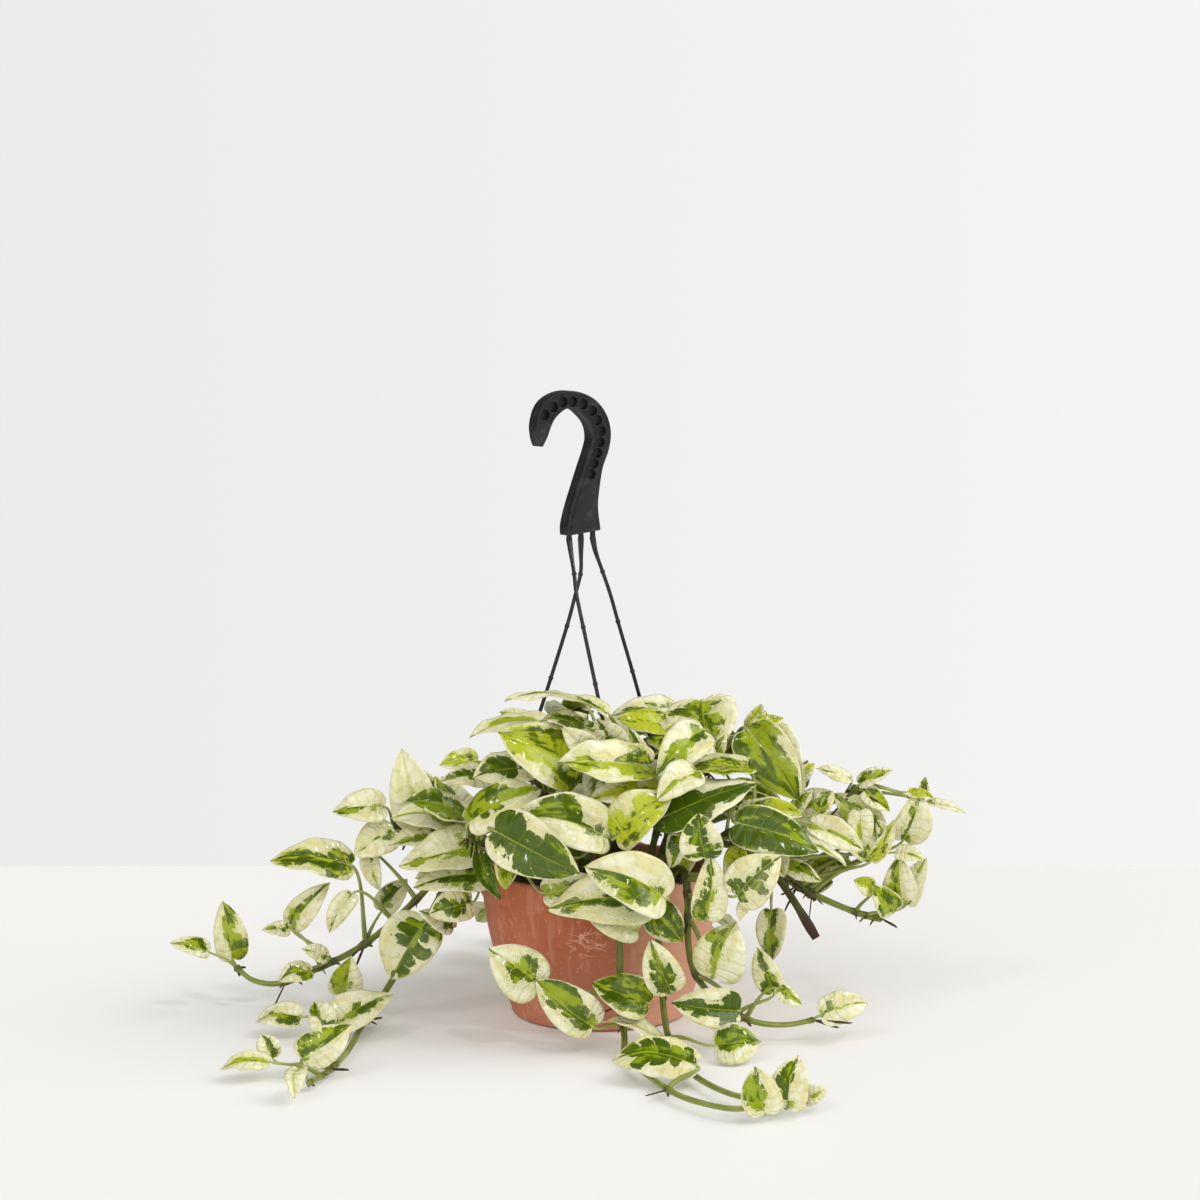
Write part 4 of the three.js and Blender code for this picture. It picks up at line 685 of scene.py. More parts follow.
class Layout:
    """Works out where every leaf of the plant stands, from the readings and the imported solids."""

    MATCH = 0.03
    SEEDS_APART = 100
    LOOK_STEP = 3
    TANGENT = 0.03
    STALK_ALONG = 0.3
    STALK_ASIDE = 0.55
    BLADE_OUT = 0.9
    LOWEST_TIP = 6.0

    def __init__(self, plants: Sequence[Plant]) -> None:
        """Keeps the plants, in the order that their leaves' seeds count in."""
        self.plants = plants

    @staticmethod
    def slide(place: Point, sheet: float) -> np.ndarray:
        """Moves a place that is read on a sheet along its line of sight to its own depth."""
        x, y, z = place
        ratio = (y - EYE_DEPTH) / (sheet - EYE_DEPTH)
        return np.array((x * ratio, y, EYE_HEIGHT + (z - EYE_HEIGHT) * ratio))

    def read(self, plant: Plant, order: int) -> list[Blade]:
        """Lists the leaves of a plant as they are read, before any is moved.

        Args:
            plant: The plant.
            order: The plant's place in the list.

        Returns:
            Its leaves.
        """
        if plant.grown:
            return self.grow(plant, order)
        blades = []
        for index, leaf in enumerate(plant.leaves):
            base, tip = (
                self.slide(place, place[1] if plant.sheet is None else plant.sheet)
                for place in (leaf.base, leaf.tip)
            )
            seed = self.SEEDS_APART * (order + 1) + index
            root = smooth(plant.path, min(leaf.at, LAST_ROOT))
            blades.append(Blade(base, tip, leaf.roll, leaf.width, VIEWER, leaf.look, root, seed))
        return blades

    def grow(self, plant: Plant, order: int) -> list[Blade]:
        """Grows the leaves of a back stem, left and right in turn, rising a little and then hanging outwards.

        Args:
            plant: The plant.
            order: The plant's place in the list.

        Returns:
            Its leaves.
        """
        draw = Draws(self.SEEDS_APART + order)
        blades = []
        for index in range(plant.grown):
            at = plant.first + (1 - plant.first) * index / (plant.grown - 1)
            start = smooth(plant.path, at)
            ahead = smooth(plant.path, min(at + self.TANGENT, 1))
            along = unit(ahead - smooth(plant.path, at - self.TANGENT))
            outward = unit(np.array((start[0], start[1], 0.0)))
            sideways = np.cross(along, UP)
            if np.linalg.norm(sideways) < 0.5:
                sideways = np.cross(outward, UP)
            sideways = unit(sideways) * (1 if index % 2 else -1)
            own = draw.each(GROWN_RANGES)
            way = unit(along * self.STALK_ALONG + sideways * self.STALK_ASIDE + UP * own["rise"])
            base = start + way * own["stalk"]
            lie = sideways * own["spread"] + outward * self.BLADE_OUT + UP * own["hang"]
            tip = base + unit(lie) * own["length"]
            tip[2] = max(tip[2], self.LOWEST_TIP)
            seed = self.SEEDS_APART * (order + 1) + index
            look = BACK_LOOKS[(index * self.LOOK_STEP + order) % len(BACK_LOOKS)]
            root = smooth(plant.path, min(at, LAST_ROOT))
            blades.append(Blade(base, tip, own["roll"], own["width"], outward, look, root, seed))
        return blades

    def settle(self, plant: Plant, order: int) -> list[Blade]:
        """Finds the turn that each leaf's solid stands at, by its tip among the solid's corners.

        Args:
            plant: The plant.
            order: The plant's place in the list.

        Returns:
            The leaves that the solid has, each in its place.
        """
        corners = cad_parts[plant.name].data.vertices
        tree = KDTree(len(corners))
        for index, corner in enumerate(corners):
            tree.insert(corner.co, index)
        tree.balance()
        settled = []
        for blade in self.read(plant, order):
            for turn in range(MOST_TURNS):
                moved = blade.turned(turn)
                face = moved.axes[2] * SOLID_BLADE_THICKNESS / 2
                end = moved.surface(np.array(1.0), np.array(0.0))
                near = min(tree.find(Vector((end + face * sign) * METRES))[2] for sign in (1, -1))
                if near < self.MATCH * METRES:
                    settled.append(moved)
                    break
            else:
                log.warning("%s: leaf %d isn't in the solid", plant.name, blade.seed)
        return settled


# Materials


class NodeTree:
    """Adds, feeds and links the nodes of one tree."""

    def __init__(self, tree: bpy.types.NodeTree) -> None:
        """Keeps the tree."""
        self.tree = tree

    def feed(self, socket: bpy.types.NodeSocket, value: object) -> None:
        """Links an output to a socket, or sets the socket to a plain value."""
        if isinstance(value, bpy.types.NodeSocket):
            self.tree.links.new(value, socket)
        else:
            socket.default_value = (*value, 1.0) if socket.type == "RGBA" else value

    def add(
        self, kind: str, links: dict[str, object] | None = None, **settings: object
    ) -> bpy.types.Node:
        """Adds a node and feeds it.

        Args:
            kind: The node's type name.
            links: What each socket, by its name or identifier, is linked to or set to.
            **settings: The node's own properties.

        Returns:
            The node.
        """
        node = self.tree.nodes.new(kind)
        for name, value in settings.items():
            setattr(node, name, value)
        for name, value in (links or {}).items():
            self.feed(next(item for item in node.inputs if name in (item.identifier, item.name)), value)
        return node

    def math(self, operation: str, *values: object, clamp: bool = False) -> Socket:
        """Returns the result of a sum on up to three values."""
        node = self.add("ShaderNodeMath", operation=operation, use_clamp=clamp)
        for socket, value in zip(node.inputs, values):
            self.feed(socket, value)
        return node.outputs[0]


class Nodes(NodeTree):
    """Builds the nodes of one material."""

    def __init__(self, name: str) -> None:
        """Starts a material that holds only its shader and output."""
        self.material = bpy.data.materials.new(name)
        self.material.use_nodes = True
        super().__init__(self.material.node_tree)
        self.shader = self.tree.nodes["Principled BSDF"]

    def attribute(self, name: str) -> Socket:
        """Returns the vector of a mesh attribute."""
        return self.add("ShaderNodeAttribute", attribute_name=name).outputs["Vector"]

    def number(self, name: str) -> Socket:
        """Returns the number of a mesh attribute."""
        return self.add("ShaderNodeAttribute", attribute_name=name).outputs["Fac"]

    def total(self, *values: object) -> Socket:
        """Returns the sum of several values."""
        return reduce(lambda one, two: self.math("ADD", one, two), values)

    def times(self, *values: object) -> Socket:
        """Returns the product of several values."""
        return reduce(lambda one, two: self.math("MULTIPLY", one, two), values)

    def split(self, vector: Socket) -> list[Socket]:
        """Returns the three parts of a vector."""
        return list(self.add("ShaderNodeSeparateXYZ", {"Vector": vector}).outputs)

    def join(self, x: object, y: object, z: object) -> Socket:
        """Returns a vector made of three parts."""
        return self.add("ShaderNodeCombineXYZ", {"X": x, "Y": y, "Z": z}).outputs[0]

    def place(self, scale: Point = (1, 1, 1)) -> Socket:
        """Returns the place on the piece, stretched by a scale."""
        place = self.add("ShaderNodeTexCoord").outputs["Object"]
        return self.add("ShaderNodeMapping", {"Vector": place, "Scale": scale}).outputs[0]

    def noise(self, vector: Socket, scale: float, detail: float = 2.0) -> Socket:
        """Returns soft noise at a place."""
        node = self.add("ShaderNodeTexNoise", {"Vector": vector, "Scale": scale, "Detail": detail})
        return node.outputs["Fac"]

    def swing(self, vector: Socket, scale: float, detail: float) -> Socket:
        """Returns soft noise at a place, less its mean."""
        return self.math("SUBTRACT", self.noise(vector, scale, detail), 0.5)

    def draw(self, vector: Socket) -> Socket:
        """Returns a draw between -0.5 and 0.5 that is the same for the same vector."""
        node = self.add("ShaderNodeTexWhiteNoise", {"Vector": vector})
        return self.math("SUBTRACT", node.outputs["Value"], 0.5)

    def ramp(self, value: Socket, low: float, high: float) -> Socket:
        """Returns how far a value is from low to high, from 0 to 1."""
        limits = {"Value": value, "From Min": low, "From Max": high}
        return self.add("ShaderNodeMapRange", limits, interpolation_type="SMOOTHSTEP").outputs[0]

    def mix(self, share: object, one: object, two: object) -> Socket:
        """Returns a colour between two."""
        colours = {"Factor": share, "A_Color": one, "B_Color": two}
        return self.add("ShaderNodeMix", colours, data_type="RGBA").outputs[2]

    def bump(self, height: Socket, strength: float, distance: float) -> None:
        """Gives the shader's surface a fine relief."""
        relief = {"Height": height, "Strength": strength, "Distance": distance}
        self.feed(self.shader.inputs["Normal"], self.add("ShaderNodeBump", relief).outputs[0])

    def finish(self, colour: object, roughness: object, **settings: object) -> Material:
        """Dresses the shader.

        Args:
            colour: The base colour.
            roughness: The roughness.
            **settings: Other sockets, with _ for each space, and the value they have all over.

        Returns:
            The material.
        """
        for name, value in {"Base_Color": colour, "Roughness": roughness, **settings}.items():
            self.feed(self.shader.inputs[name.replace("_", " ")], value)
        return self.material


@dataclass(frozen=True)
class Terracotta:
    """Dry clay with faint upright streaks, flanks made paler partly by chalk and partly by painted light, a
    lower wall made paler by painted bounce light from the floor, a dark thin band at the very bottom, and one
    chalky scribbled stain.

    Attributes:
        deep: The damp clay's colour.
        usual: The dry clay's colour.
        chalk: The colour of the lime that blooms on the clay, which also paints light on the flanks and the
            lower wall.
        foot: The dark colour of the thin band at the very bottom of the foot.
        stain_middle: Middle of the stain, left to right and up, in metres.
        stain_reach: Half the stain's width and height, in metres.
    """

    deep: Colour = (0.44, 0.12, 0.052)
    usual: Colour = (0.53, 0.158, 0.074)
    chalk: Colour = (0.85, 0.46, 0.32)
    foot: Colour = (0.07, 0.02, 0.01)
    stain_middle: tuple[float, float] = (-0.009, 0.065)
    stain_reach: tuple[float, float] = (0.016, 0.013)

    def material(self) -> Material:
        """Returns the clay's material."""
        nodes = Nodes("terracotta_clay")
        x, _, z = nodes.split(nodes.place())
        broad = nodes.noise(nodes.place((1, 1, 0.6)), 18.0, 3.0)
        streaks = nodes.noise(nodes.place((1, 1, 0.10)), 170.0, 4.0)
        rings = nodes.noise(nodes.place((0.12, 0.12, 1.0)), 260.0, 3.0)
        grain = nodes.noise(nodes.place(), 900.0, 2.0)
        specks = nodes.noise(nodes.place((1, 1, 0.5)), 420.0, 2.0)
        colour = nodes.mix(nodes.ramp(broad, 0.3, 0.7), self.deep, self.usual)
        # Paler left edge and right flank: partly chalk bloom, partly painted light on the sides.
        left_edge = nodes.times(nodes.ramp(x, -0.06, -0.09), 0.35)
        lit_and_chalky_flanks = nodes.math("MAXIMUM", nodes.times(nodes.ramp(x, 0.0, 0.055), 0.8), left_edge)
        # The broad and streak ramps are chalk bloom; the height ramp is painted bounce light, paler towards
        # the bottom of the wall.
        blooms = ((broad, 0.55, 0.72, 0.15), (streaks, 0.5, 0.75, 0.28), (z, 0.08, 0.02, 0.24))
        shares = (nodes.times(nodes.ramp(value, low, high), most) for value, low, high, most in blooms)
        chalk_and_painted_light = nodes.total(lit_and_chalky_flanks, *shares)
        colour = nodes.mix(nodes.math("MINIMUM", chalk_and_painted_light, 0.8), colour, self.chalk)
        colour = nodes.mix(nodes.times(nodes.ramp(rings, 0.5, 0.8), 0.2), colour, self.deep)
        colour = nodes.mix(nodes.times(nodes.ramp(specks, 0.62, 0.7), 0.3), colour, self.chalk)
        across = nodes.times(nodes.math("SUBTRACT", x, self.stain_middle[0]), 1 / self.stain_reach[0])
        upward = nodes.times(nodes.math("SUBTRACT", z, self.stain_middle[1]), 1 / self.stain_reach[1])
        off = nodes.total(nodes.times(across, across), nodes.times(upward, upward))
        scribble = nodes.math("ABSOLUTE", nodes.swing(nodes.place((1, 1, 2.2)), 85.0, 3.0))
        stain = nodes.times(nodes.ramp(off, 1.0, 0.2), nodes.ramp(scribble, 0.035, 0.01), 0.75)
        colour = nodes.mix(stain, colour, self.chalk)
        # Darker towards the very bottom of the foot.
        colour = nodes.mix(nodes.times(nodes.ramp(z, 0.0022, 0.0005), 0.7), colour, self.foot)
        nodes.bump(nodes.total(nodes.times(grain, 0.5), rings), 0.35, 0.0004)
        return nodes.finish(colour, nodes.total(0.7, nodes.times(broad, 0.2)), Specular_IOR_Level=0.25)


@dataclass(frozen=True)
class Earth:
    """Damp potting soil with paler fibres."""

    dark: Colour = (0.018, 0.010, 0.006)
    light: Colour = (0.085, 0.05, 0.028)

    def material(self) -> Material:
        """Returns the soil's material."""
        nodes = Nodes("potting_soil")
        lumps = nodes.noise(nodes.place(), 160.0, 5.0)
        fibres = nodes.noise(nodes.place((1, 4, 1)), 320.0, 3.0)
        share = nodes.math("MULTIPLY", nodes.ramp(lumps, 0.38, 0.68), nodes.ramp(fibres, 0.3, 0.7))
        nodes.bump(lumps, 0.9, 0.002)
        return nodes.finish(nodes.mix(share, self.dark, self.light), 0.92)


@dataclass(frozen=True)
class BlackPlastic:
    """Satin moulded plastic."""

    colour: Colour = (0.012, 0.012, 0.0125)
    dusty: Colour = (0.035, 0.034, 0.034)

    def material(self) -> Material:
        """Returns the plastic's material."""
        nodes = Nodes("black_plastic")
        dust = nodes.noise(nodes.place(), 120.0, 4.0)
        nodes.bump(nodes.noise(nodes.place(), 700.0, 2.0), 0.25, 0.0002)
        colour = nodes.mix(nodes.ramp(dust, 0.5, 0.75), self.colour, self.dusty)
        return nodes.finish(colour, nodes.total(0.28, nodes.times(dust, 0.2)), Specular_IOR_Level=0.5)


class BladeNodes(Nodes):
    """The leaf skin's nodes, in each blade's own grid of midrib and side veins."""

    def __init__(self, name: str) -> None:
        """Reads the blade's place, pattern and tone, and cuts it into a cell for each gap between veins."""
        super().__init__(name)
        self.outline, across, self.under = self.split(self.attribute("leaf_place"))
        self.green, self.lobes, self.spots = self.split(self.attribute("leaf_look"))
        self.lime, self.depth, seed = self.split(self.attribute("leaf_tone"))
        self.reach = self.math("ABSOLUTE", across)
        self.side = self.math("SIGN", across)
        self.layer = self.total(self.times(seed, 37.0), self.times(self.side, 3.7))
        strayed = self.times(self.grain(3.0, 2.0, 5.0, 1.0), 0.8)
        veins = self.total(self.times(self.outline, float(VEINS)), strayed)
        self.cell = self.math("FLOOR", veins)
        self.part = self.math("ABSOLUTE", self.math("MULTIPLY_ADD", self.math("FRACT", veins), 2.0, -1.0))
        self.inside = self.patch()

    def grain(self, along: float, out: float, shift: float, detail: float) -> Socket:
        """Makes noise in the blade's own grid, less its mean.

        Args:
            along: How fine it is along the blade.
            out: How fine it is from the midrib outwards.
            shift: What sets it apart from the other grains.
            detail: How much finer noise is laid over it.

        Returns:
            The noise.
        """
        depth = self.total(self.layer, shift)
        place = self.join(self.times(self.outline, along), self.times(self.reach, out), depth)
        return self.swing(place, 1.0, detail)

    def patch(self) -> Socket:
        """Returns how far a place is inside the green patch's limit, which swells and has fingers."""
        finger = self.draw(self.join(self.cell, self.layer, 0.0))
        cleft = self.math("POWER", self.part, 3.0)
        fingers = self.math("SUBTRACT", self.times(finger, 0.75), self.times(cleft, 0.28))
        swell = self.times(self.grain(2.3, 0.0, 0.0, 0.0), 2.3)
        blobs = self.times(self.grain(4.5, 2.6, 19.0, 1.0), 0.9)
        ragged = self.times(self.grain(46.0, 11.0, 23.0, 3.0), 0.36)
        shifted = self.times(self.side, self.number("leaf_side"))
        limit = self.total(self.green, swell, blobs, self.times(fingers, self.lobes), ragged, shifted)
        rim = self.times(self.ramp(self.reach, 0.90, 1.0), 0.45)
        return self.math("SUBTRACT", self.math("SUBTRACT", limit, self.reach), rim)

    def flecks(self, grain: Socket, share: float, rarity: float, softness: float) -> Socket:
        """Makes small spots where a grain is high.

        Args:
            grain: The grain.
            share: How much the leaf's own spottiness adds.
            rarity: How high the grain has to be.
            softness: The width of the spots' soft edge.

        Returns:
            1 in the spots and 0 beside them.
        """
        return self.ramp(self.total(grain, self.times(self.spots, share), -rarity), 0.0, softness)

    def greenness(self) -> Socket:
        """Returns 1 on the green and 0 on the cream, with holes, islands and specks near the border."""
        holes = self.flecks(self.grain(22.0, 7.0, 97.0, 2.0), 0.14, 0.30, 0.02)
        solid = self.math("SUBTRACT", self.ramp(self.inside, -0.012, 0.012), holes, clamp=True)
        islands = self.flecks(self.grain(26.0, 8.0, 41.0, 2.0), 0.14, 0.29, 0.02)
        solid = self.math("MAXIMUM", solid, self.times(islands, self.ramp(self.inside, -0.75, -0.1)))
        specks = self.flecks(self.grain(95.0, 30.0, 61.0, 1.0), 0.09, 0.20, 0.03)
        border = self.ramp(self.math("ABSOLUTE", self.total(self.inside, 0.12)), 0.4, 0.1)
        return self.math("ABSOLUTE", self.math("SUBTRACT", solid, self.times(specks, border)))


@dataclass(frozen=True)
class LeafSkin:
    """Glossy leaf skin: a cream ground with a green patch that follows the midrib and the side veins."""

    cream: Colour = (0.75, 0.71, 0.36)
    ivory: Colour = (0.86, 0.84, 0.61)
    deep_green: Colour = (0.05, 0.10, 0.002)
    mid_green: Colour = (0.20, 0.31, 0.004)
    lime: Colour = (0.50, 0.55, 0.025)
    sage: Colour = (0.32, 0.40, 0.12)
    # under: the undersides' colour, partly their own green and partly painted shade that deepens the crown.
    under: Colour = (0.30, 0.37, 0.09)
    shaded_under_share: float = 0.4
    gloss: Colour = (1.0, 0.95, 0.25)
    coat: float = 0.6
    relief: float = 0.0014

    def ground(self, nodes: BladeNodes) -> Socket:
        """Returns the cream, with paler parts, a yellower zone by the patch, thin sage streaks, sage lines
        along the side veins that are partly vein colour and partly painted shade in their furrows, and
        painted shade in the midrib's channel.
        """
        tint = nodes.grain(4.0, 2.4, 57.0, 2.0)
        ground = nodes.mix(nodes.ramp(tint, -0.12, 0.12), self.cream, self.ivory)
        halo = nodes.ramp(nodes.total(nodes.inside, nodes.times(tint, 1.6), 0.12), -0.03, 0.03)
        yellow = nodes.times(halo, nodes.total(0.06, nodes.times(nodes.lime, 0.55)))
        ground = nodes.mix(yellow, ground, self.lime)
        streaks = nodes.ramp(nodes.grain(75.0, 5.0, 71.0, 2.0), 0.13, 0.2)
        ground = nodes.mix(nodes.times(streaks, nodes.times(nodes.spots, 0.55)), ground, self.sage)
        # Sage lines along the side veins: partly vein colour, partly painted shade in their furrows.
        ground = nodes.mix(nodes.times(nodes.ramp(nodes.part, 0.7, 1.0), 0.07), ground, self.sage)
        # Painted shade: the cream turns a little sage towards the midrib's channel.
        return nodes.mix(nodes.times(nodes.ramp(nodes.reach, 0.25, 0.0), 0.1), ground, self.sage)

    def greens(self, nodes: BladeNodes) -> Socket:
        """Returns the green, which is darker in some cells and zones than in others."""
        zone = nodes.times(nodes.grain(3.4, 2.2, 83.0, 2.0), 2.4)
        mottle = nodes.times(nodes.grain(17.0, 6.0, 11.0, 3.0), nodes.lime, 1.8)
        cells = nodes.times(nodes.draw(nodes.join(nodes.cell, nodes.layer, 1.0)), 0.35)
        shade = nodes.total(nodes.depth, zone, mottle, cells)
        stepped = nodes.times(nodes.ramp(shade, 0.44, 0.56), 0.55)
        shade = nodes.math("ADD", nodes.times(nodes.ramp(shade, 0.0, 1.0), 0.45), stepped, clamp=True)
        return nodes.mix(shade, nodes.mix(nodes.lime, self.mid_green, self.lime), self.deep_green)

    def material(self) -> Material:
        """Returns the leaves' material, which reads each blade's own place and pattern from its mesh."""
        nodes = BladeNodes("variegated_leaf")
        colour = nodes.mix(nodes.greenness(), self.ground(nodes), self.greens(nodes))
        line = nodes.times(nodes.ramp(nodes.part, 0.9, 0.99), 0.16)
        midrib = nodes.times(nodes.ramp(nodes.reach, 0.04, 0.012), 0.42)
        colour = nodes.mix(nodes.math("MAXIMUM", line, midrib), colour, self.lime)
        # Partly painted shade: the under side turns towards a dull green, partly its own colour and partly
        # shade that deepens the crown.
        colour = nodes.mix(nodes.times(nodes.under, self.shaded_under_share), colour, self.under)
        sunk = nodes.times(nodes.ramp(nodes.part, 0.5, 1.0), -0.9)
        nodes.bump(nodes.total(sunk, nodes.times(nodes.grain(9.0, 3.0, 29.0, 2.0), 0.7)), 0.5, self.relief)
        return nodes.finish(
            colour, nodes.total(0.38, nodes.times(nodes.under, 0.25)), Specular_IOR_Level=0.2,
            Specular_Tint=self.gloss, Coat_Weight=self.coat, Coat_Roughness=0.1,
        )


@dataclass(frozen=True)
class GreenStem:
    """Stem and stalk skin, from pale young stalks over striped green to brown scars."""

    pale: Colour = (0.47, 0.52, 0.17)
    green: Colour = (0.20, 0.235, 0.03)
    old: Colour = (0.085, 0.095, 0.018)
    brown: Colour = (0.06, 0.03, 0.014)

    def material(self) -> Material:
        """Returns the stems' material, which reads the age and the place on the bar from the mesh."""
        nodes = Nodes("green_stem")
        age = nodes.number("bar_age")
        around, along = nodes.number("bar_round"), nodes.number("bar_along")
        blotches = nodes.swing(nodes.place(), 70.0, 3.0)
        stripes = nodes.noise(nodes.join(nodes.times(around, 4.0), nodes.times(along, 22.0), 0.0), 1.0, 2.0)
        striped = nodes.times(nodes.math("SUBTRACT", stripes, 0.5), 0.9)
        aged = nodes.total(age, nodes.times(blotches, 0.4), striped)
        colour = nodes.mix(nodes.ramp(aged, 0.0, 0.45), self.pale, self.green)
        colour = nodes.mix(nodes.ramp(aged, 0.4, 0.85), colour, self.old)
        scars = nodes.noise(nodes.join(nodes.times(around, 7.0), nodes.times(along, 60.0), 9.0), 1.0, 3.0)
        worn = nodes.times(nodes.ramp(scars, 0.60, 0.66), nodes.ramp(age, 0.05, 0.5))
        colour = nodes.mix(nodes.math("MAXIMUM", nodes.ramp(aged, 1.0, 1.12), worn), colour, self.brown)
        nodes.bump(stripes, 0.3, 0.0004)
        return nodes.finish(colour, 0.42, Specular_IOR_Level=0.35)


@dataclass(frozen=True)
class RootBark:
    """Dark brown bark of the aerial roots."""

    dark: Colour = (0.045, 0.022, 0.012)
    light: Colour = (0.16, 0.085, 0.045)

    def material(self) -> Material:
        """Returns the roots' material."""
        nodes = Nodes("root_bark")
        patches = nodes.noise(nodes.place(), 300.0, 3.0)
        return nodes.finish(nodes.mix(nodes.ramp(patches, 0.45, 0.75), self.dark, self.light), 0.8)


@dataclass(frozen=True)
class PaleFloor:
    """Matte near-white floor that is lit a little from within, so that shadows on it stay pale."""

    colour: Colour = (0.81, 0.806, 0.80)
    glow: float = 0.14
    glow_colour: Colour = (1.0, 0.98, 0.92)

    def material(self) -> Material:
        """Returns the floor's material."""
        glow = {"Emission_Color": self.glow_colour, "Emission_Strength": self.glow}
        return Nodes("pale_floor").finish(self.colour, 0.75, **glow)


# Meshes and Geometry Nodes


def mesh_object(
    name: str, points: np.ndarray, faces: Iterable[Sequence[int]], edges: Iterable = ()
) -> Piece:
    """Makes a mesh object at the origin.

    Args:
        name: The object's name.
        points: Its points in millimetres.
        faces: The corner numbers of each face.
        edges: The corner numbers of each loose edge.

    Returns:
        The object, linked to the scene.
    """
    mesh = bpy.data.meshes.new(name)
    mesh.from_pydata((np.asarray(points) * METRES).tolist(), list(edges), list(faces))
    mesh.update()
    piece = bpy.data.objects.new(name, mesh)
    bpy.context.scene.collection.objects.link(piece)
    return piece


def store(mesh: bpy.types.Mesh, name: str, values: np.ndarray) -> None:
    """Stores one number or one vector for each point of a mesh."""
    kind = "FLOAT" if values.ndim == 1 else "FLOAT_VECTOR"
    attribute = mesh.attributes.new(name, kind, "POINT")
    attribute.data.foreach_set("value" if values.ndim == 1 else "vector", values.astype(np.float32).ravel())


def shade_smooth(mesh: bpy.types.Mesh) -> None:
    """Shades every face of a mesh smooth."""
    mesh.polygons.foreach_set("use_smooth", [True] * len(mesh.polygons))


def join(pieces: Sequence[Piece]) -> Piece:
    """Joins pieces into the first, which keeps its name."""
    with bpy.context.temp_override(active_object=pieces[0], selected_editable_objects=list(pieces)):
        bpy.ops.object.join()
    return pieces[0]


def flatten(piece: Piece) -> Piece:
    """Turns a piece and its modifiers into one plain mesh.

    Args:
        piece: The piece, with its modifiers set.

    Returns:
        The same object, with the evaluated mesh and no modifier.
    """
    graph = bpy.context.evaluated_depsgraph_get()
    shown = piece.evaluated_get(graph)
    mesh = bpy.data.meshes.new_from_object(shown, preserve_all_data_layers=True, depsgraph=graph)
    mesh.name = piece.name
    piece.modifiers.clear()
    piece.data = mesh
    return piece


class GeometryTree(NodeTree):
    """One Geometry Nodes tree with named inputs."""

    def __init__(self, name: str) -> None:
        """Starts a tree that takes a geometry and gives one back."""
        super().__init__(bpy.data.node_groups.new(name, "GeometryNodeTree"))
        for way in ("INPUT", "OUTPUT"):
            self.tree.interface.new_socket("Geometry", in_out=way, socket_type="NodeSocketGeometry")
        self.start = self.add("NodeGroupInput")

    @property
    def given(self) -> Socket:
        """The geometry that the tree starts from."""
        return self.start.outputs["Geometry"]

    def ask(self, name: str, kind: str) -> Socket:
        """Adds a named input and returns the socket that gives it."""
        self.tree.interface.new_socket(name, in_out="INPUT", socket_type="NodeSocket" + kind)
        return self.start.outputs[name]

    def made(self, kind: str, links: dict[str, object] | None = None, **settings: object) -> Socket:
        """Adds a node as add does, and returns its first output."""
        return self.add(kind, links, **settings).outputs[0]

    def held(self, name: str, kind: str = "FLOAT") -> Socket:
        """Returns what a mesh attribute holds."""
        return self.made("GeometryNodeInputNamedAttribute", {"Name": name}, data_type=kind)

    def line(self) -> Socket:
        """Returns the given edges as a curve."""
        return self.made("GeometryNodeMeshToCurve", {"Mesh": self.given})

    def ring(self, sides: object) -> Socket:
        """Returns a ring of radius 1."""
        return self.made("GeometryNodeCurvePrimitiveCircle", {"Resolution": sides, "Radius": 1.0})

    def swept(self, line: Socket, ring: Socket, scale: Socket) -> Socket:
        """Returns the closed bar that a ring makes along a line."""
        links = {"Curve": line, "Profile Curve": ring, "Scale": scale, "Fill Caps": True}
        return self.made("GeometryNodeCurveToMesh", links)

    def placed(self, piece: Socket, points: Socket, **links: object) -> Socket:
        """Returns a piece set on each point."""
        return self.made("GeometryNodeInstanceOnPoints", {"Points": points, "Instance": piece, **links})

    def on_given(self, piece: Socket, turn: Socket, **links: object) -> Socket:
        """Returns a piece set on each given point, with a turn."""
        points = self.made("GeometryNodeMeshToPoints", {"Mesh": self.given})
        return self.placed(piece, points, Rotation=turn, **links)

    def aimed(self, name: str) -> Socket:
        """Returns the turn from up to the way that a mesh attribute holds."""
        way = self.held(name, "FLOAT_VECTOR")
        return self.made("FunctionNodeAlignRotationToVector", {"Vector": way}, axis="Z")

    def joined(self, *parts: Socket) -> Socket:
        """Returns several geometries as one."""
        node = self.add("GeometryNodeJoinGeometry")
        for part in parts:
            self.tree.links.new(part, node.inputs[0])
        return node.outputs[0]

    def close(self, geometry: Socket, smoothed: bool = True) -> NodeGroup:
        """Ends the tree in Realize Instances and Set Material.

        Args:
            geometry: What the tree has built.
            smoothed: Whether it is shaded smooth.

        Returns:
            The finished tree.
        """
        if smoothed:
            geometry = self.made("GeometryNodeSetShadeSmooth", {"Geometry": geometry})
        material = self.ask("Material", "Material")
        real = self.made("GeometryNodeRealizeInstances", {"Geometry": geometry})
        dressed = self.made("GeometryNodeSetMaterial", {"Geometry": real, "Material": material})
        self.add("NodeGroupOutput", {"Geometry": dressed})
        return self.tree


def grow_nodes(piece: Piece, tree: NodeGroup, values: dict[str, object]) -> Piece:
    """Runs a Geometry Nodes tree on a piece and keeps the result as a plain mesh.

    Args:
        piece: The piece that the tree starts from.
        tree: The tree.
        values: The value of each named input.

    Returns:
        The piece.
    """
    modifier = piece.modifiers.new(tree.name, "NODES")
    modifier.node_group = tree
    for item in tree.interface.items_tree:
        if item.item_type == "SOCKET" and item.in_out == "INPUT" and item.name in values:
            modifier[item.identifier] = values[item.name]
    return flatten(piece)


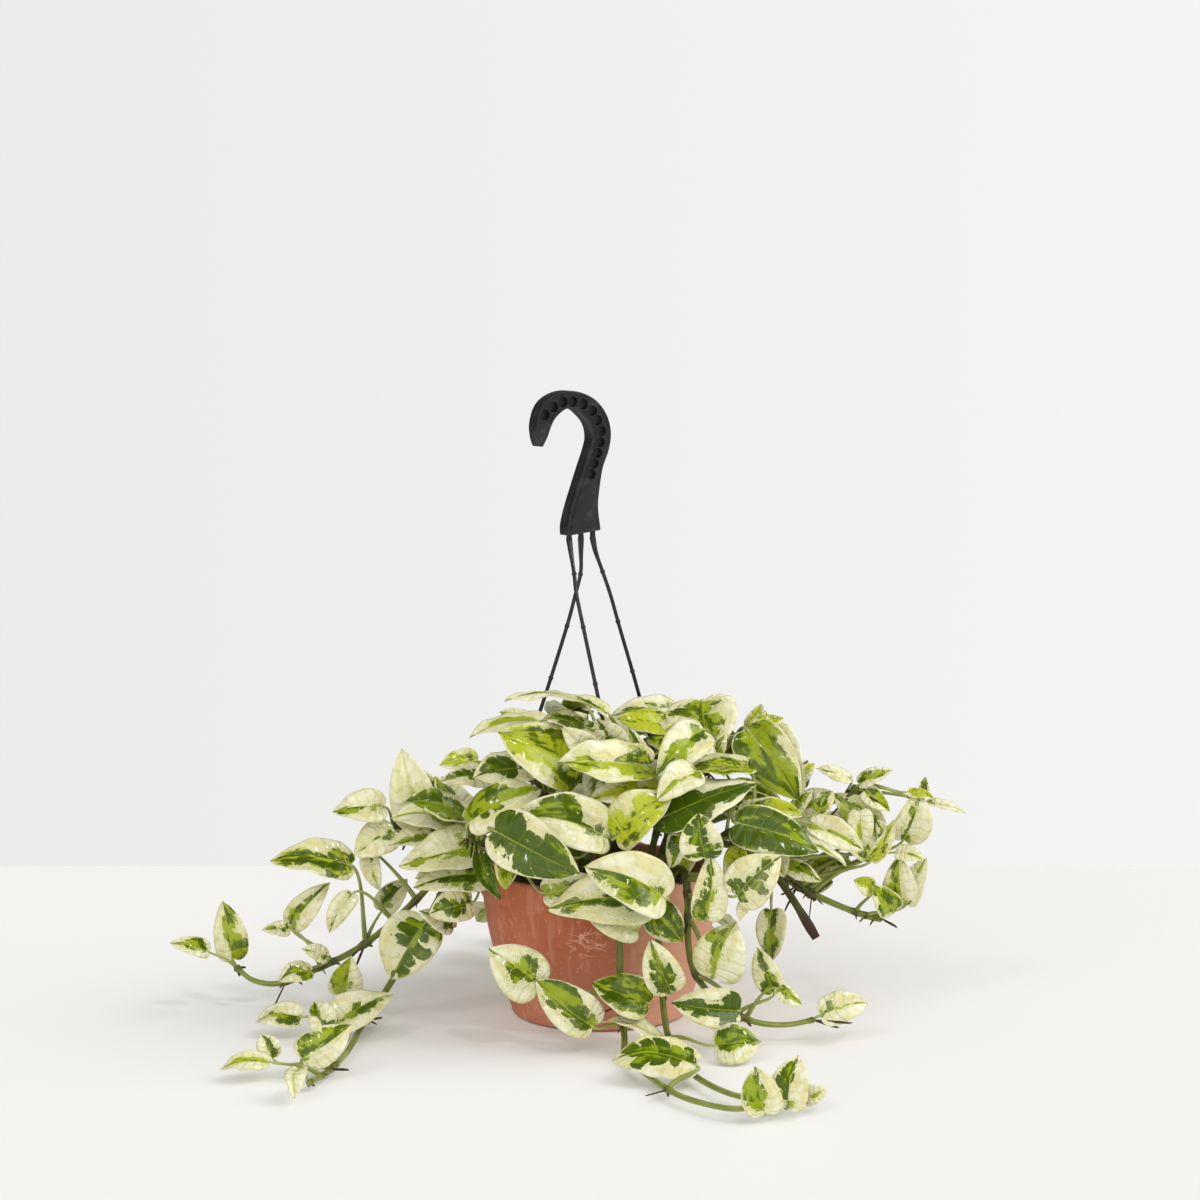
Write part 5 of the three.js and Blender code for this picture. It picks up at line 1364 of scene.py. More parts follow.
def sweep_tree() -> NodeGroup:
    """Builds the tree that sweeps a round bar along a line whose points hold its radius.

    The bar's points hold how far round they are, from 1 at the seam to 0 opposite.
    """
    tree = GeometryTree("Round bar along a line")
    ring = tree.ring(tree.ask("Sides", "Int"))
    share = tree.add("GeometryNodeSplineParameter").outputs["Factor"]
    round_share = tree.math("ABSOLUTE", tree.math("MULTIPLY_ADD", share, 2.0, -1.0))
    marked = {"Geometry": ring, "Name": "bar_round", "Value": round_share}
    ring = tree.made("GeometryNodeStoreNamedAttribute", marked, data_type="FLOAT")
    return tree.close(tree.swept(tree.line(), ring, tree.held("bar_radius")))


def peg_tree() -> NodeGroup:
    """Builds the tree that sets a bent, tapering root on each point, along the way that the point holds."""
    tree = GeometryTree("Aerial roots on points")
    bend = tree.ask("Bend", "Float")
    seed = tree.ask("Seed", "Int")
    end = tree.made("ShaderNodeCombineXYZ", {"X": bend, "Z": 1.0})
    bow = {"Resolution": 5, "Start": (0, 0, 0), "Middle": (0.0, 0.0, 0.6), "End": end}
    share = tree.add("GeometryNodeSplineParameter").outputs["Factor"]
    width = tree.math("SUBTRACT", 1.0, tree.math("MULTIPLY", share, share))
    width = tree.math("MAXIMUM", width, 0.25)
    peg = tree.swept(tree.made("GeometryNodeCurveQuadraticBezier", bow), tree.ring(5), width)
    round_turn = {"Min_001": 0.0, "Max_001": 2 * math.pi, "Seed": seed}
    spin = tree.add("FunctionNodeRandomValue", round_turn, data_type="FLOAT").outputs[1]
    twist = tree.made("FunctionNodeAxisAngleToRotation", {"Axis": (0, 0, 1), "Angle": spin})
    turns = {"Rotation": tree.aimed("peg_way"), "Rotate By": twist}
    turn = tree.made("FunctionNodeRotateRotation", turns, rotation_space="LOCAL")
    return tree.close(tree.on_given(peg, turn, Scale=tree.held("peg_size", "FLOAT_VECTOR")))


def crumb_tree() -> NodeGroup:
    """Builds the tree that strews crumbs over a surface and keeps the surface."""
    tree = GeometryTree("Crumbs on the soil")
    density = tree.math("MULTIPLY", tree.ask("Density", "Float"), tree.held("soil_top"))
    size = tree.ask("Crumb size", "Float")
    seed = tree.ask("Seed", "Int")
    strewing = {"Mesh": tree.given, "Density": density, "Seed": seed}
    strewn = tree.add("GeometryNodeDistributePointsOnFaces", strewing).outputs
    crumb = tree.made("GeometryNodeMeshIcoSphere", {"Radius": size, "Subdivisions": 1})
    sizes = {"Min": (0.4, 0.4, 0.3), "Max": (1.5, 1.3, 1.0), "Seed": seed}
    scale = tree.made("FunctionNodeRandomValue", sizes, data_type="FLOAT_VECTOR")
    crumbs = tree.placed(crumb, strewn[0], Rotation=strewn["Rotation"], Scale=scale)
    return tree.close(tree.joined(crumbs, tree.given), smoothed=False)


def nub_tree() -> NodeGroup:
    """Builds the tree that sweeps a strand and sets a moulded nub on it at even steps."""
    tree = GeometryTree("Strand with nubs")
    sides = tree.ask("Sides", "Int")
    step = tree.ask("Nub step", "Float")
    size = tree.ask("Nub size", "Float")
    line = tree.line()
    strand = tree.swept(line, tree.ring(sides), tree.held("bar_radius"))
    marks = tree.made("GeometryNodeCurveToPoints", {"Curve": line, "Length": step}, mode="LENGTH")
    nub = tree.made("GeometryNodeMeshIcoSphere", {"Radius": size, "Subdivisions": 2})
    return tree.close(tree.joined(tree.placed(nub, marks), strand))


def core_tree() -> NodeGroup:
    """Builds the tree that sets a round core on each point, for holes and pockets."""
    tree = GeometryTree("Cores on points")
    sizes = {"Vertices": 24, "Radius": tree.ask("Radius", "Float"), "Depth": tree.ask("Depth", "Float")}
    core = tree.made("GeometryNodeMeshCylinder", sizes)
    return tree.close(tree.on_given(core, tree.aimed("core_way")), smoothed=False)


@dataclass
class BarLine:
    """Round bars that are gathered before they are swept together."""

    APART: ClassVar[float] = 1.7

    points: list[np.ndarray] = field(default_factory=list)
    edges: list[tuple[int, int]] = field(default_factory=list)
    radii: list[float] = field(default_factory=list)
    ages: list[float] = field(default_factory=list)
    ways: list[float] = field(default_factory=list)

    def add(self, points: np.ndarray, radii: np.ndarray, ages: np.ndarray) -> None:
        """Adds one bar.

        Args:
            points: Its points in millimetres.
            radii: Its radius at each point.
            ages: Its age at each point, from 0 (young) to 1 (old wood).
        """
        first = len(self.points)
        steps = np.linalg.norm(np.diff(points, axis=0), axis=1)
        self.ways.extend(np.concatenate(((0.0,), np.cumsum(steps))) * METRES + self.APART * first)
        self.points.extend(points)
        self.radii.extend(radii)
        self.ages.extend(ages)
        self.edges.extend((first + step, first + step + 1) for step in range(len(points) - 1))

    def object(self, name: str) -> Piece:
        """Returns the bars' lines as an object whose points hold radius, age and the way along."""
        piece = mesh_object(name, np.array(self.points), (), self.edges)
        store(piece.data, "bar_radius", np.array(self.radii) * METRES)
        store(piece.data, "bar_age", np.array(self.ages))
        store(piece.data, "bar_along", np.array(self.ways))
        return piece


def lathe(profile: np.ndarray, sides: int) -> tuple[np.ndarray, list[tuple[int, ...]]]:
    """Turns a closed profile that starts and ends on the axis about it.

    Args:
        profile: Radius and height of each point, from the bottom's middle round the outside to the end.
        sides: Number of steps round the axis.

    Returns:
        The points and the faces.
    """
    angles = np.arange(sides) * 2 * math.pi / sides
    inner = profile[1:-1]
    rings = [np.column_stack((r * np.cos(angles), r * np.sin(angles), np.full(sides, z))) for r, z in inner]
    points = np.vstack((*rings, (0, 0, profile[0][1]), (0, 0, profile[-1][1])))
    faces: list[tuple[int, ...]] = []
    first, last = len(points) - 2, len(points) - 1
    top = (len(inner) - 1) * sides
    for side in range(sides):
        after = (side + 1) % sides
        faces.append((first, after, side))
        faces.append((last, top + side, top + after))
        for ring in range(len(inner) - 1):
            low, high = ring * sides, (ring + 1) * sides
            faces.append((low + side, low + after, high + after, high + side))
    return points, faces


def cut(piece: Piece, cores: Piece) -> None:
    """Cuts cores out of a piece and deletes them."""
    modifier = piece.modifiers.new("Cut", "BOOLEAN")
    modifier.operation = "DIFFERENCE"
    modifier.solver = "EXACT"
    modifier.object = cores
    flatten(piece)
    bpy.data.objects.remove(cores)


def drill(piece: Piece, places: list[np.ndarray], ways: list[np.ndarray], size: Size) -> None:
    """Cuts round holes in a piece.

    Args:
        piece: The piece.
        places: The middle of each hole.
        ways: The way that each hole runs along.
        size: The holes' radius and length.
    """
    cores = mesh_object("cores", np.array(places), ())
    store(cores.data, "core_way", np.array(ways))
    cut(piece, grow_nodes(cores, core_tree(), {"Radius": size[0] * METRES, "Depth": size[1] * METRES}))


def dress(mesh: bpy.types.Mesh, material: Material, angle: float) -> None:
    """Gives a mesh its material, and shades it smooth apart from edges sharper than an angle in degrees."""
    mesh.materials.clear()
    mesh.materials.append(material)
    shade_smooth(mesh)
    mesh.set_sharp_from_angle(angle=math.radians(angle))


def finish_piece(piece: Piece, node: str) -> None:
    """Lets a piece ride on the body and stand for a node, whose solid it hides, and logs its triangle count.
    """
    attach(piece, ROOT_BODY)
    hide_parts(node)
    triangles = sum(len(face.vertices) - 2 for face in piece.data.polygons)
    log.info("%s: %d triangles", piece.name, triangles)


# The pieces


@dataclass
class Pot:
    """The clay pot with its rim band and three strand holes."""

    clay: Terracotta = field(default_factory=Terracotta)
    sides: int = 128
    lip_round: float = 1.6
    foot_round: float = 4.0
    step_flare: float = 0.35
    band_round: tuple[float, float] = (0.5, 1.2)
    inner_chamfer: float = 0.8
    inner_heights: tuple[float, ...] = (60.0, 40.0, 22.0, POT_FLOOR)
    hole_radius: float = 2.0
    hole_length: float = 12.0
    sharp: float = 32.0

    def outer_radius(self, z: float) -> float:
        """Returns the radius of the wall's outside below the rim band at a height."""
        share = min(z / (POT_HEIGHT - RIM_BAND_HEIGHT), 1)
        bulge = math.sin(share * POT_BULGE) / math.sin(POT_BULGE)
        return POT_BASE_RADIUS + (POT_RIM_RADIUS - RIM_STEP - POT_BASE_RADIUS) * bulge

    def profile(self) -> np.ndarray:
        """Returns the wall's section as radius and height, from the base's middle to the floor's."""
        band = POT_HEIGHT - RIM_BAND_HEIGHT
        inner_rim = POT_RIM_RADIUS - POT_WALL
        outside = [(0.0, 0.0), (POT_BASE_RADIUS * 0.6, 0.0)]
        for angle in np.radians(np.linspace(-90, 0, 6)):
            radius = self.outer_radius(self.foot_round) - self.foot_round * (1 - math.cos(angle))
            outside.append((radius, self.foot_round * (1 + math.sin(angle))))
        outside += [(self.outer_radius(z), z) for z in np.linspace(self.foot_round + 3, band - 0.6, 22)]
        outside.append((self.outer_radius(band) + self.step_flare, band))
        outside.append((POT_RIM_RADIUS - self.band_round[0], band + self.step_flare))
        outside.append((POT_RIM_RADIUS, band + self.band_round[1]))
        outside.append((POT_RIM_RADIUS, POT_HEIGHT - self.lip_round))
        for angle in np.radians(np.linspace(15, 90, 5)):
            radius = POT_RIM_RADIUS - self.lip_round * (1 - math.cos(angle))
            outside.append((radius, POT_HEIGHT - self.lip_round * (1 - math.sin(angle))))
        inside = [(inner_rim + self.inner_chamfer, POT_HEIGHT), (inner_rim, POT_HEIGHT - self.inner_chamfer)]
        inside += [(inner_rim, band), *((self.outer_radius(z) - POT_WALL, z) for z in self.inner_heights)]
        return np.array((*outside, *inside, (0.0, POT_FLOOR)))

    def build(self, bearings: Sequence[float]) -> Piece:
        """Builds the pot.

        Args:
            bearings: Bearing of each strand hole in degrees.

        Returns:
            The pot.
        """
        piece = mesh_object("clay_pot", *lathe(self.profile(), self.sides))
        places = [Hanger.rim_point(bearing, POT_RIM_RADIUS - POT_WALL / 2) for bearing in bearings]
        ways = [Hanger.rim_point(bearing, 1.0) * (1, 1, 0) for bearing in bearings]
        drill(piece, places, ways, (self.hole_radius, self.hole_length))
        dress(piece.data, self.clay.material(), self.sharp)
        finish_piece(piece, "pot")
        return piece


@dataclass
class Soil:
    """The soil in the pot, with lumps and crumbs on top."""

    earth: Earth = field(default_factory=Earth)
    sides: int = 96
    rings: int = 26
    lump: float = 1.1
    crumb: float = 1.0
    crumbs_per_square_metre: float = 42000.0
    gap: float = 0.3
    foot_gap: float = 1.3
    foot: tuple[float, float] = (8.0, 24.0)
    seed: int = 7

    def build(self) -> Piece:
        """Builds the soil, and returns it."""
        edge = POT_RIM_RADIUS - POT_WALL - self.gap
        bottom = POT_BASE_RADIUS - POT_WALL - self.foot_gap
        profile = [(0.0, POT_FLOOR + self.gap), (bottom, POT_FLOOR + self.gap)]
        profile += [(bottom + self.foot[0], self.foot[1])]
        profile += [(edge - 1, POT_HEIGHT - RIM_BAND_HEIGHT), (edge, SOIL_TOP - 2)]
        for share in np.linspace(0.97, 0.03, self.rings):
            profile.append((edge * share, SOIL_TOP - 1 + (SOIL_RISE + 1) * (1 - share**2)))
        profile.append((0.0, SOIL_TOP + SOIL_RISE))
        points, faces = lathe(np.array(profile), self.sides)
        top = points[:, 2] > SOIL_TOP - 1.5
        angle = np.arctan2(points[:, 1], points[:, 0])
        reach = np.hypot(points[:, 0], points[:, 1])
        rough = np.sin(reach * 0.9 + 3 * np.sin(angle * 5)) + np.sin(reach * 0.37 + angle * 11)
        points[:, 2] += np.where(top, rough * self.lump * 0.4, 0)
        piece = mesh_object("potting_soil", points, faces)
        store(piece.data, "soil_top", np.where(top & (reach < edge - 3), 1.0, 0.0))
        shade_smooth(piece.data)
        sizes = {"Density": self.crumbs_per_square_metre, "Crumb size": self.crumb * METRES}
        grow_nodes(piece, crumb_tree(), {**sizes, "Seed": self.seed, "Material": self.earth.material()})
        finish_piece(piece, "soil")
        return piece


@dataclass(frozen=True)
class Strand:
    """One strand of the hanger.

    Attributes:
        root: Where its root stands along the hook's foot.
        bearing: Bearing of its rim hole in degrees.
        way: Points from the hook's foot to the rim.
    """

    root: float
    bearing: float
    way: tuple[Point, ...]


@dataclass
class Hanger:
    """The plastic hanger: a hook with pockets in both faces and three strands to the rim."""

    plastic: BlackPlastic = field(default_factory=BlackPlastic)
    pocket_radius: float = 3.6
    pocket_depth: float = 3.1
    edge_round: float = 0.8
    sharp: float = 35.0
    groove: float = 0.6
    edge_grooves: tuple[tuple[int, int], ...] = ((4, 80), (92, -4))
    face_groove: tuple[int, int] = (72, -3)
    rib_width: float = 2.4
    neck_radius: float = 2.2
    nub_step: float = 37.0
    nub_share: float = 1.4
    button_radius: float = 3.8
    button_height: float = 2.2
    button_section: tuple[Size, ...] = ((0, 1), (0.3, 1), (0.6, 0.92), (0.85, 0.65), (1, 0.2))
    outer: tuple[Size, ...] = (
        (12.4, 333.6), (10.4, 349), (11.4, 361), (14.1, 376), (18.8, 388), (20.5, 400), (17.1, 412),
        (8.6, 422), (-3.3, 427.5), (-15, 428.5), (-26.4, 424.8), (-33.7, 417.6), (-37.1, 406), (-36.3, 397),
    )
    nose: tuple[Size, ...] = ((-34.3, 391.5), (-32.2, 391.7))
    inner: tuple[Size, ...] = (
        (-28.9, 397.5), (-24.4, 408), (-19.4, 413.4), (-14, 416.5), (-8.2, 416.5), (-2.6, 412.8), (3.6, 406),
        (5.8, 397), (3.7, 388), (-0.3, 377.5), (-4.7, 365.5), (-10, 350.5), (-13.3, 338), (-13.3, 330.6),
    )
    pockets: tuple[Size, ...] = (
        (-31, 412.9), (-24.4, 418.1), (-17, 421.3), (-9.6, 421.3), (-1.4, 419.4), (5.9, 414.8), (9.7, 408.3),
        (12.6, 401), (11.9, 393.4), (9.7, 386.2), (7, 379.1), (4.8, 372),
    )
    strands: dict[str, Strand] = field(default_factory=lambda: {
        "hanger_strand_left": Strand(0, 168, (
            (-13, 3, 318), (-13.2, 6, 304), (-17, 9, 288), (-24, 12, 262), (-41, 15, 208), (-61, 16, 148))),
        "hanger_strand_front": Strand(-9.2, -72, (
            (-19.5, -11, 318), (-17.3, -20, 305), (-15.8, -28, 293), (-10, -38, 266), (3, -53, 206),
            (15, -66, 148))),
        "hanger_strand_right": Strand(9.2, 48, (
            (-3, 8, 318), (1.4, 13, 305), (7, 18, 288), (13.6, 24, 264), (28, 37, 212), (42, 49, 152))),
    })

    @staticmethod
    def rim_point(bearing: float, radius: float) -> np.ndarray:
        """Returns the point at a bearing and radius, at the height of the rim holes."""
        angle = math.radians(bearing)
        return np.array((radius * math.cos(angle), radius * math.sin(angle), RIM_HOLE_HEIGHT))

    @staticmethod
    def hook_point(along: float, height: float, across: float = 0.0) -> np.ndarray:
        """Returns a point of the hook's plane, or beside it."""
        x = HOOK_MIDDLE_X + along * math.cos(HOOK_YAW) - across * math.sin(HOOK_YAW)
        return np.array((x, along * math.sin(HOOK_YAW) + across * math.cos(HOOK_YAW), height))

    def outline(self) -> np.ndarray:
        """Returns the hook's closed outline in its plane."""
        outer = smooth(self.outer, np.linspace(0, 1, 66))
        inner = smooth(self.inner, np.linspace(0, 1, 70))
        return np.vstack((outer, np.array(self.nose), inner))

    def inset(self, outline: np.ndarray) -> np.ndarray:
        """Returns the outline moved inwards by the rib's width."""
        way = np.roll(outline, -1, axis=0) - np.roll(outline, 1, axis=0)
        way /= np.linalg.norm(way, axis=1)[:, None]
        return outline + np.column_stack((-way[:, 1], way[:, 0])) * self.rib_width

    def build_hook(self) -> Piece:
        """Builds the hook, and returns it."""
        outline = self.outline()
        count = len(outline)
        half = HOOK_THICKNESS / 2
        front = [self.hook_point(along, height, -half) for along, height in outline]
        back = [self.hook_point(along, height, half) for along, height in outline]
        faces = [tuple(range(count)), tuple(range(2 * count - 1, count - 1, -1))]
        faces += [(i, i + count, (i + 1) % count + count, (i + 1) % count) for i in range(count)]
        piece = mesh_object("hanger_hook_moulding", np.array(front + back), faces)
        bevel = piece.modifiers.new("Edge round", "BEVEL")
        bevel.width = self.edge_round * METRES
        bevel.segments = 3
        bevel.limit_method = "ANGLE"
        bevel.angle_limit = math.radians(55)
        flatten(piece)
        middle = half - self.pocket_depth / 2 + 0.5
        places = [self.hook_point(a, h, sign * middle) for a, h in self.pockets for sign in (-1, 1)]
        across = self.hook_point(0, 0, 1) - self.hook_point(0, 0)
        drill(piece, places, [across] * len(places), (self.pocket_radius, self.pocket_depth + 1))
        edges = BarLine()
        grooves = [(outline[slice(*part)], 0.0) for part in self.edge_grooves]
        grooves += [(self.inset(outline)[slice(*self.face_groove)], side) for side in (-half, half)]
        for line, side in grooves:
            points = np.array([self.hook_point(a, h, side) for a, h in line])
            edges.add(points, np.full(len(points), self.groove), np.zeros(len(points)))
        cut(piece, grow_nodes(edges.object("edge_grooves"), sweep_tree(), {"Sides": 8}))
        dress(piece.data, self.plastic.material(), self.sharp)
        finish_piece(piece, "hanger_hook")
        return piece

    def build_strand(self, name: str, strand: Strand, material: Material) -> Piece:
        """Builds one strand from its socket to its button outside the rim.

        Args:
            name: The node's name.
            strand: The strand's sizes.
            material: The plastic.

        Returns:
            The strand.
        """
        knee = self.rim_point(strand.bearing, POT_RIM_RADIUS - POT_WALL - 6) + (0, 0, 5)
        inside = self.rim_point(strand.bearing, POT_RIM_RADIUS - POT_WALL - 2.2)
        line = (self.hook_point(strand.root, STRAND_TOP), *strand.way, knee, inside)
        run = smooth(line, np.linspace(0, 1, 72))
        radii = np.interp(run[:, 2], (312, 329), (STRAND_RADIUS, self.neck_radius))
        top = self.hook_point(strand.root, SOCKET_TOP)
        outside = POT_RIM_RADIUS + 0.3
        bar = BarLine()
        socket = self.hook_point(strand.root, STRAND_TOP + 2)
        points = np.vstack((top, socket, run, self.rim_point(strand.bearing, outside)))
        radii = np.concatenate(((STRAND_ROOT_RADIUS, STRAND_ROOT_RADIUS), radii, (STRAND_RADIUS,)))
        bar.add(points, radii, np.zeros(len(points)))
        rises, widths = np.array(self.button_section).T
        button = [self.rim_point(strand.bearing, outside + self.button_height * rise) for rise in rises]
        bar.add(np.array(button), self.button_radius * widths, np.zeros(len(button)))
        nub = STRAND_RADIUS * self.nub_share * METRES
        sizes = {"Sides": 12, "Nub step": self.nub_step * METRES, "Nub size": nub}
        piece = grow_nodes(bar.object(name + "_moulding"), nub_tree(), {**sizes, "Material": material})
        finish_piece(piece, name)
        return piece

    def build(self) -> list[Piece]:
        """Builds the hook and the strands, and returns them."""
        hook = self.build_hook()
        material = hook.data.materials[0]
        return [hook, *(self.build_strand(name, strand, material) for name, strand in self.strands.items())]


@dataclass
class LeafyStems:
    """Every leafy stem of the plant: blades, stalks, stem and aerial roots."""

    skin: LeafSkin = field(default_factory=LeafSkin)
    stem: GreenStem = field(default_factory=GreenStem)
    bark: RootBark = field(default_factory=RootBark)
    edge_crowding: float = 0.9
    edge_thinning: float = 0.6
    stem_point_step: float = 2.5
    stem_sides: int = 10
    petiole_sides: int = 8
    petiole_radius: float = 1.3
    petiole_root_radius: float = 2.0
    petiole_rise: float = 0.5
    petiole_leaving: float = 0.4
    petiole_arriving: tuple[Size, Size] = ((0.3, 10.0), (0.12, 4.0))
    petiole_steps: int = 14
    knot: float = 0.3
    knot_reach: float = 3.0
    knot_scar: float = 0.45
    cut_stem_radii: tuple[float, ...] = (3.3, 2.9, 2.7, 2.7, 2.8, 3.4, 3.6, 3.0)
    cut_stem_ages: tuple[float, ...] = (1.15, 0.95, 1.0, 1.3)
    root_radius: float = 0.55
    root_bend: float = 2.6
    roots_per_knot: int = 2
    longest_root: float = 20.0
    shortest_root: float = 4.5
    # Partly painted shade: the crown's leaves get more green, partly their pattern and partly shade in the
    # dense crown.
    crown_green_and_shade: float = 0.21
    green_spread: float = 0.16
    tone_spread: float = 0.3
    tone_seed: int = 5
    root_seed: int = 500
    root_droop: float = 0.55
    pot_zone: float = 4.0
    rib_shares: tuple[float, float] = (0.2, 0.93)
    rib_points: int = 12
    rib_root_share: float = 0.62
    rib_tip_radius: float = 0.2
    rib_sink: float = 0.3
    stem_ages: tuple[float, float] = (0.8, 0.25)
    petiole_ages: tuple[float, float] = (0.35, -0.1)

    def __post_init__(self) -> None:
        """Makes the materials and trees once for all stems."""
        self.leaf_material = self.skin.material()
        self.stem_material = self.stem.material()
        self.bark_material = self.bark.material()
        self.sweep = sweep_tree()
        self.pegs = peg_tree()

    @staticmethod
    def grid_size(length: float) -> tuple[int, int]:
        """Returns the steps along the outline and from the midrib to the edge, for a blade's length."""
        return next(steps for least, steps in BLADE_GRIDS if length > least)

    def blade_mesh(self, blade: Blade) -> tuple[np.ndarray, list[tuple[int, ...]], np.ndarray]:
        """Builds one closed blade.

        Args:
            blade: The leaf.

        Returns:
            The points, the faces, and for each point its place on the blade: share along the outline,
            share from the midrib to the edge, and 1 on the under side.
        """
        rows, columns = self.grid_size(blade.length)
        steps = np.linspace(-1, 1, 2 * columns + 1)
        outline, across = np.meshgrid(
            np.linspace(0, 1, rows + 1), np.sign(steps) * np.abs(steps) ** self.edge_crowding, indexing="ij"
        )
        middle = blade.surface(outline, across, 1.0)
        half = blade.axes[2] * BLADE_THICKNESS / 2 * (1 - self.edge_thinning * across[..., None] ** 4)
        number = np.arange(outline.size).reshape(outline.shape)
        number[rows] = number[rows, columns]
        number[outline[:, 0] <= 1 / (len(LEAF_EDGE) - 1), columns] = number[0, columns]
        number[0] = number[0, columns]
        kept, flat = np.unique(number, return_inverse=True)
        number = flat.reshape(number.shape)
        count = len(kept)
        faces: list[tuple[int, ...]] = []
        for row in range(rows):
            for column in range(2 * columns):
                ring = (number[row, column], number[row + 1, column],
                        number[row + 1, column + 1], number[row, column + 1])
                ring = tuple(dict.fromkeys(ring))
                if len(ring) > 2:
                    faces.append(ring)
                    faces.append(tuple(corner + count for corner in reversed(ring)))
            for one, two in (number[row:row + 2, -1], number[row:row + 2, 0][::-1]):
                faces.append((one, two, two + count, one + count))
        points = np.vstack([side.reshape(-1, 3)[kept] for side in (middle + half, middle - half)])
        places = [np.column_stack((outline.ravel()[kept], across.ravel()[kept], np.full(count, under)))
                  for under in (0.0, 1.0)]
        return points, faces, np.vstack(places)

    def blades_object(self, name: str, blades: Sequence[Blade]) -> Piece:
        """Builds the blades of one stem as one object.

        Args:
            name: The object's name.
            blades: The leaves.

        Returns:
            The object, whose points hold what the leaf skin reads.
        """
        points, faces = [], []
        held = {"leaf_place": [], "leaf_look": [], "leaf_tone": [], "leaf_side": []}
        # The crown's leaves get more green, partly pattern and partly painted shade.
        greener = self.crown_green_and_shade if name.startswith("crown") else 0.0
        first = 0
        for blade in blades:
            own_points, own_faces, own_places = self.blade_mesh(blade)
            draw = Draws(blade.seed + self.tone_seed)
            pattern = blade.look.value
            count = len(own_points)
            points.append(own_points)
            faces.extend(tuple(first + number for number in ring) for ring in own_faces)
            held["leaf_place"].append(own_places)
            green = pattern.green + self.green_spread * (draw() - 0.5) + greener
            held["leaf_look"].append(np.tile((green, pattern.lobes, pattern.spots), (count, 1)))
            lime = min(max(pattern.lime + self.tone_spread * (draw() - 0.5), 0), 1)
            depth = pattern.depth + self.tone_spread * (draw() - 0.5)
            held["leaf_tone"].append(np.tile((lime, depth, draw()), (count, 1)))
            held["leaf_side"].append(np.full(count, pattern.side))
            first += count
        piece = mesh_object(name, np.vstack(points), faces)
        for attribute, values in held.items():
            store(piece.data, attribute, np.concatenate(values))
        piece.data.materials.append(self.leaf_material)
        shade_smooth(piece.data)
        return piece

    def stalk(self, blade: Blade) -> tuple[np.ndarray, np.ndarray]:
        """Follows a leaf stalk from the stem to the notch, and on as the rib under the blade.

        Args:
            blade: The leaf.

        Returns:
            The points and the radius at each.
        """
        along, _, face = blade.axes
        notch = blade.surface(np.array(0.0), np.array(0.0))
        reach = float(np.linalg.norm(notch - blade.root))
        rising = unit(unit(notch - blade.root) + UP * self.petiole_rise)
        leaving = blade.root + rising * reach * self.petiole_leaving
        behind, below = (min(reach * share, most) for share, most in self.petiole_arriving)
        arriving = notch - along * behind - face * below
        t = np.linspace(0, 1, self.petiole_steps)[:, None]
        run = (1 - t) ** 3 * blade.root + 3 * t * (1 - t) ** 2 * leaving
        run = run + 3 * t * t * (1 - t) * arriving + t**3 * notch
        start = min(self.petiole_root_radius, 0.4 + reach * 0.05)
        slim = min(self.petiole_radius, 0.45 + blade.length * 0.013)
        radii = slim + (max(start, slim) - slim) * (1 - t[:, 0]) ** 2
        shares = np.linspace(*self.rib_shares, self.rib_points)
        rib = blade.surface(shares, np.zeros(self.rib_points), 1.0) - face * self.rib_sink
        rib_radii = np.linspace(slim * self.rib_root_share, self.rib_tip_radius, self.rib_points)
        return np.vstack((run, rib)), np.concatenate((radii, rib_radii))

    def stems_object(self, name: str, plant: Plant, blades: Sequence[Blade]) -> Piece:
        """Sweeps the stem, its cut side stem and its leaf stalks.

        Args:
            name: The object's name.
            plant: The plant.
            blades: Its leaves.

        Returns:
            The object.
        """
        length = curve_length(plant.path)
        steps = round(length / self.stem_point_step)
        shares = np.linspace(0, 1, steps + 1)
        points = smooth(plant.path, shares)
        radii = plant.radius[0] + (plant.radius[1] - plant.radius[0]) * shares
        ages = self.stem_ages[0] + (self.stem_ages[1] - self.stem_ages[0]) * shares
        scars = np.zeros(len(points))
        for blade in blades:
            gaps = np.linalg.norm(points - blade.root, axis=1)
            near = np.exp(-((gaps / self.knot_reach) ** 2))
            radii = radii * (1 + self.knot * near)
            scars = np.maximum(scars, near)
        radii[-1] *= 0.5
        bars = BarLine()
        bars.add(points, radii, ages + self.knot_scar * scars)
        if plant.cut_stem:
            count = len(self.cut_stem_radii)
            ages = np.interp(np.arange(count), (0, 2, count - 4, count - 2), self.cut_stem_ages)
            fine = np.linspace(0, 1, 4 * count)
            cut_radii = smooth([(radius,) for radius in self.cut_stem_radii], fine)[:, 0]
            cut_ages = np.interp(fine * (count - 1), np.arange(count), ages)
            bars.add(smooth(plant.cut_stem, fine), cut_radii, cut_ages)
        sizes = {"Sides": self.stem_sides, "Material": self.stem_material}
        stem = grow_nodes(bars.object(name), self.sweep, sizes)
        stalks = BarLine()
        for blade in blades:
            run, widths = self.stalk(blade)
            stalks.add(run, widths, np.linspace(*self.petiole_ages, len(run)))
        sizes = {"Sides": self.petiole_sides, "Material": self.stem_material}
        return join((stem, grow_nodes(stalks.object(name + "_stalks"), self.sweep, sizes)))

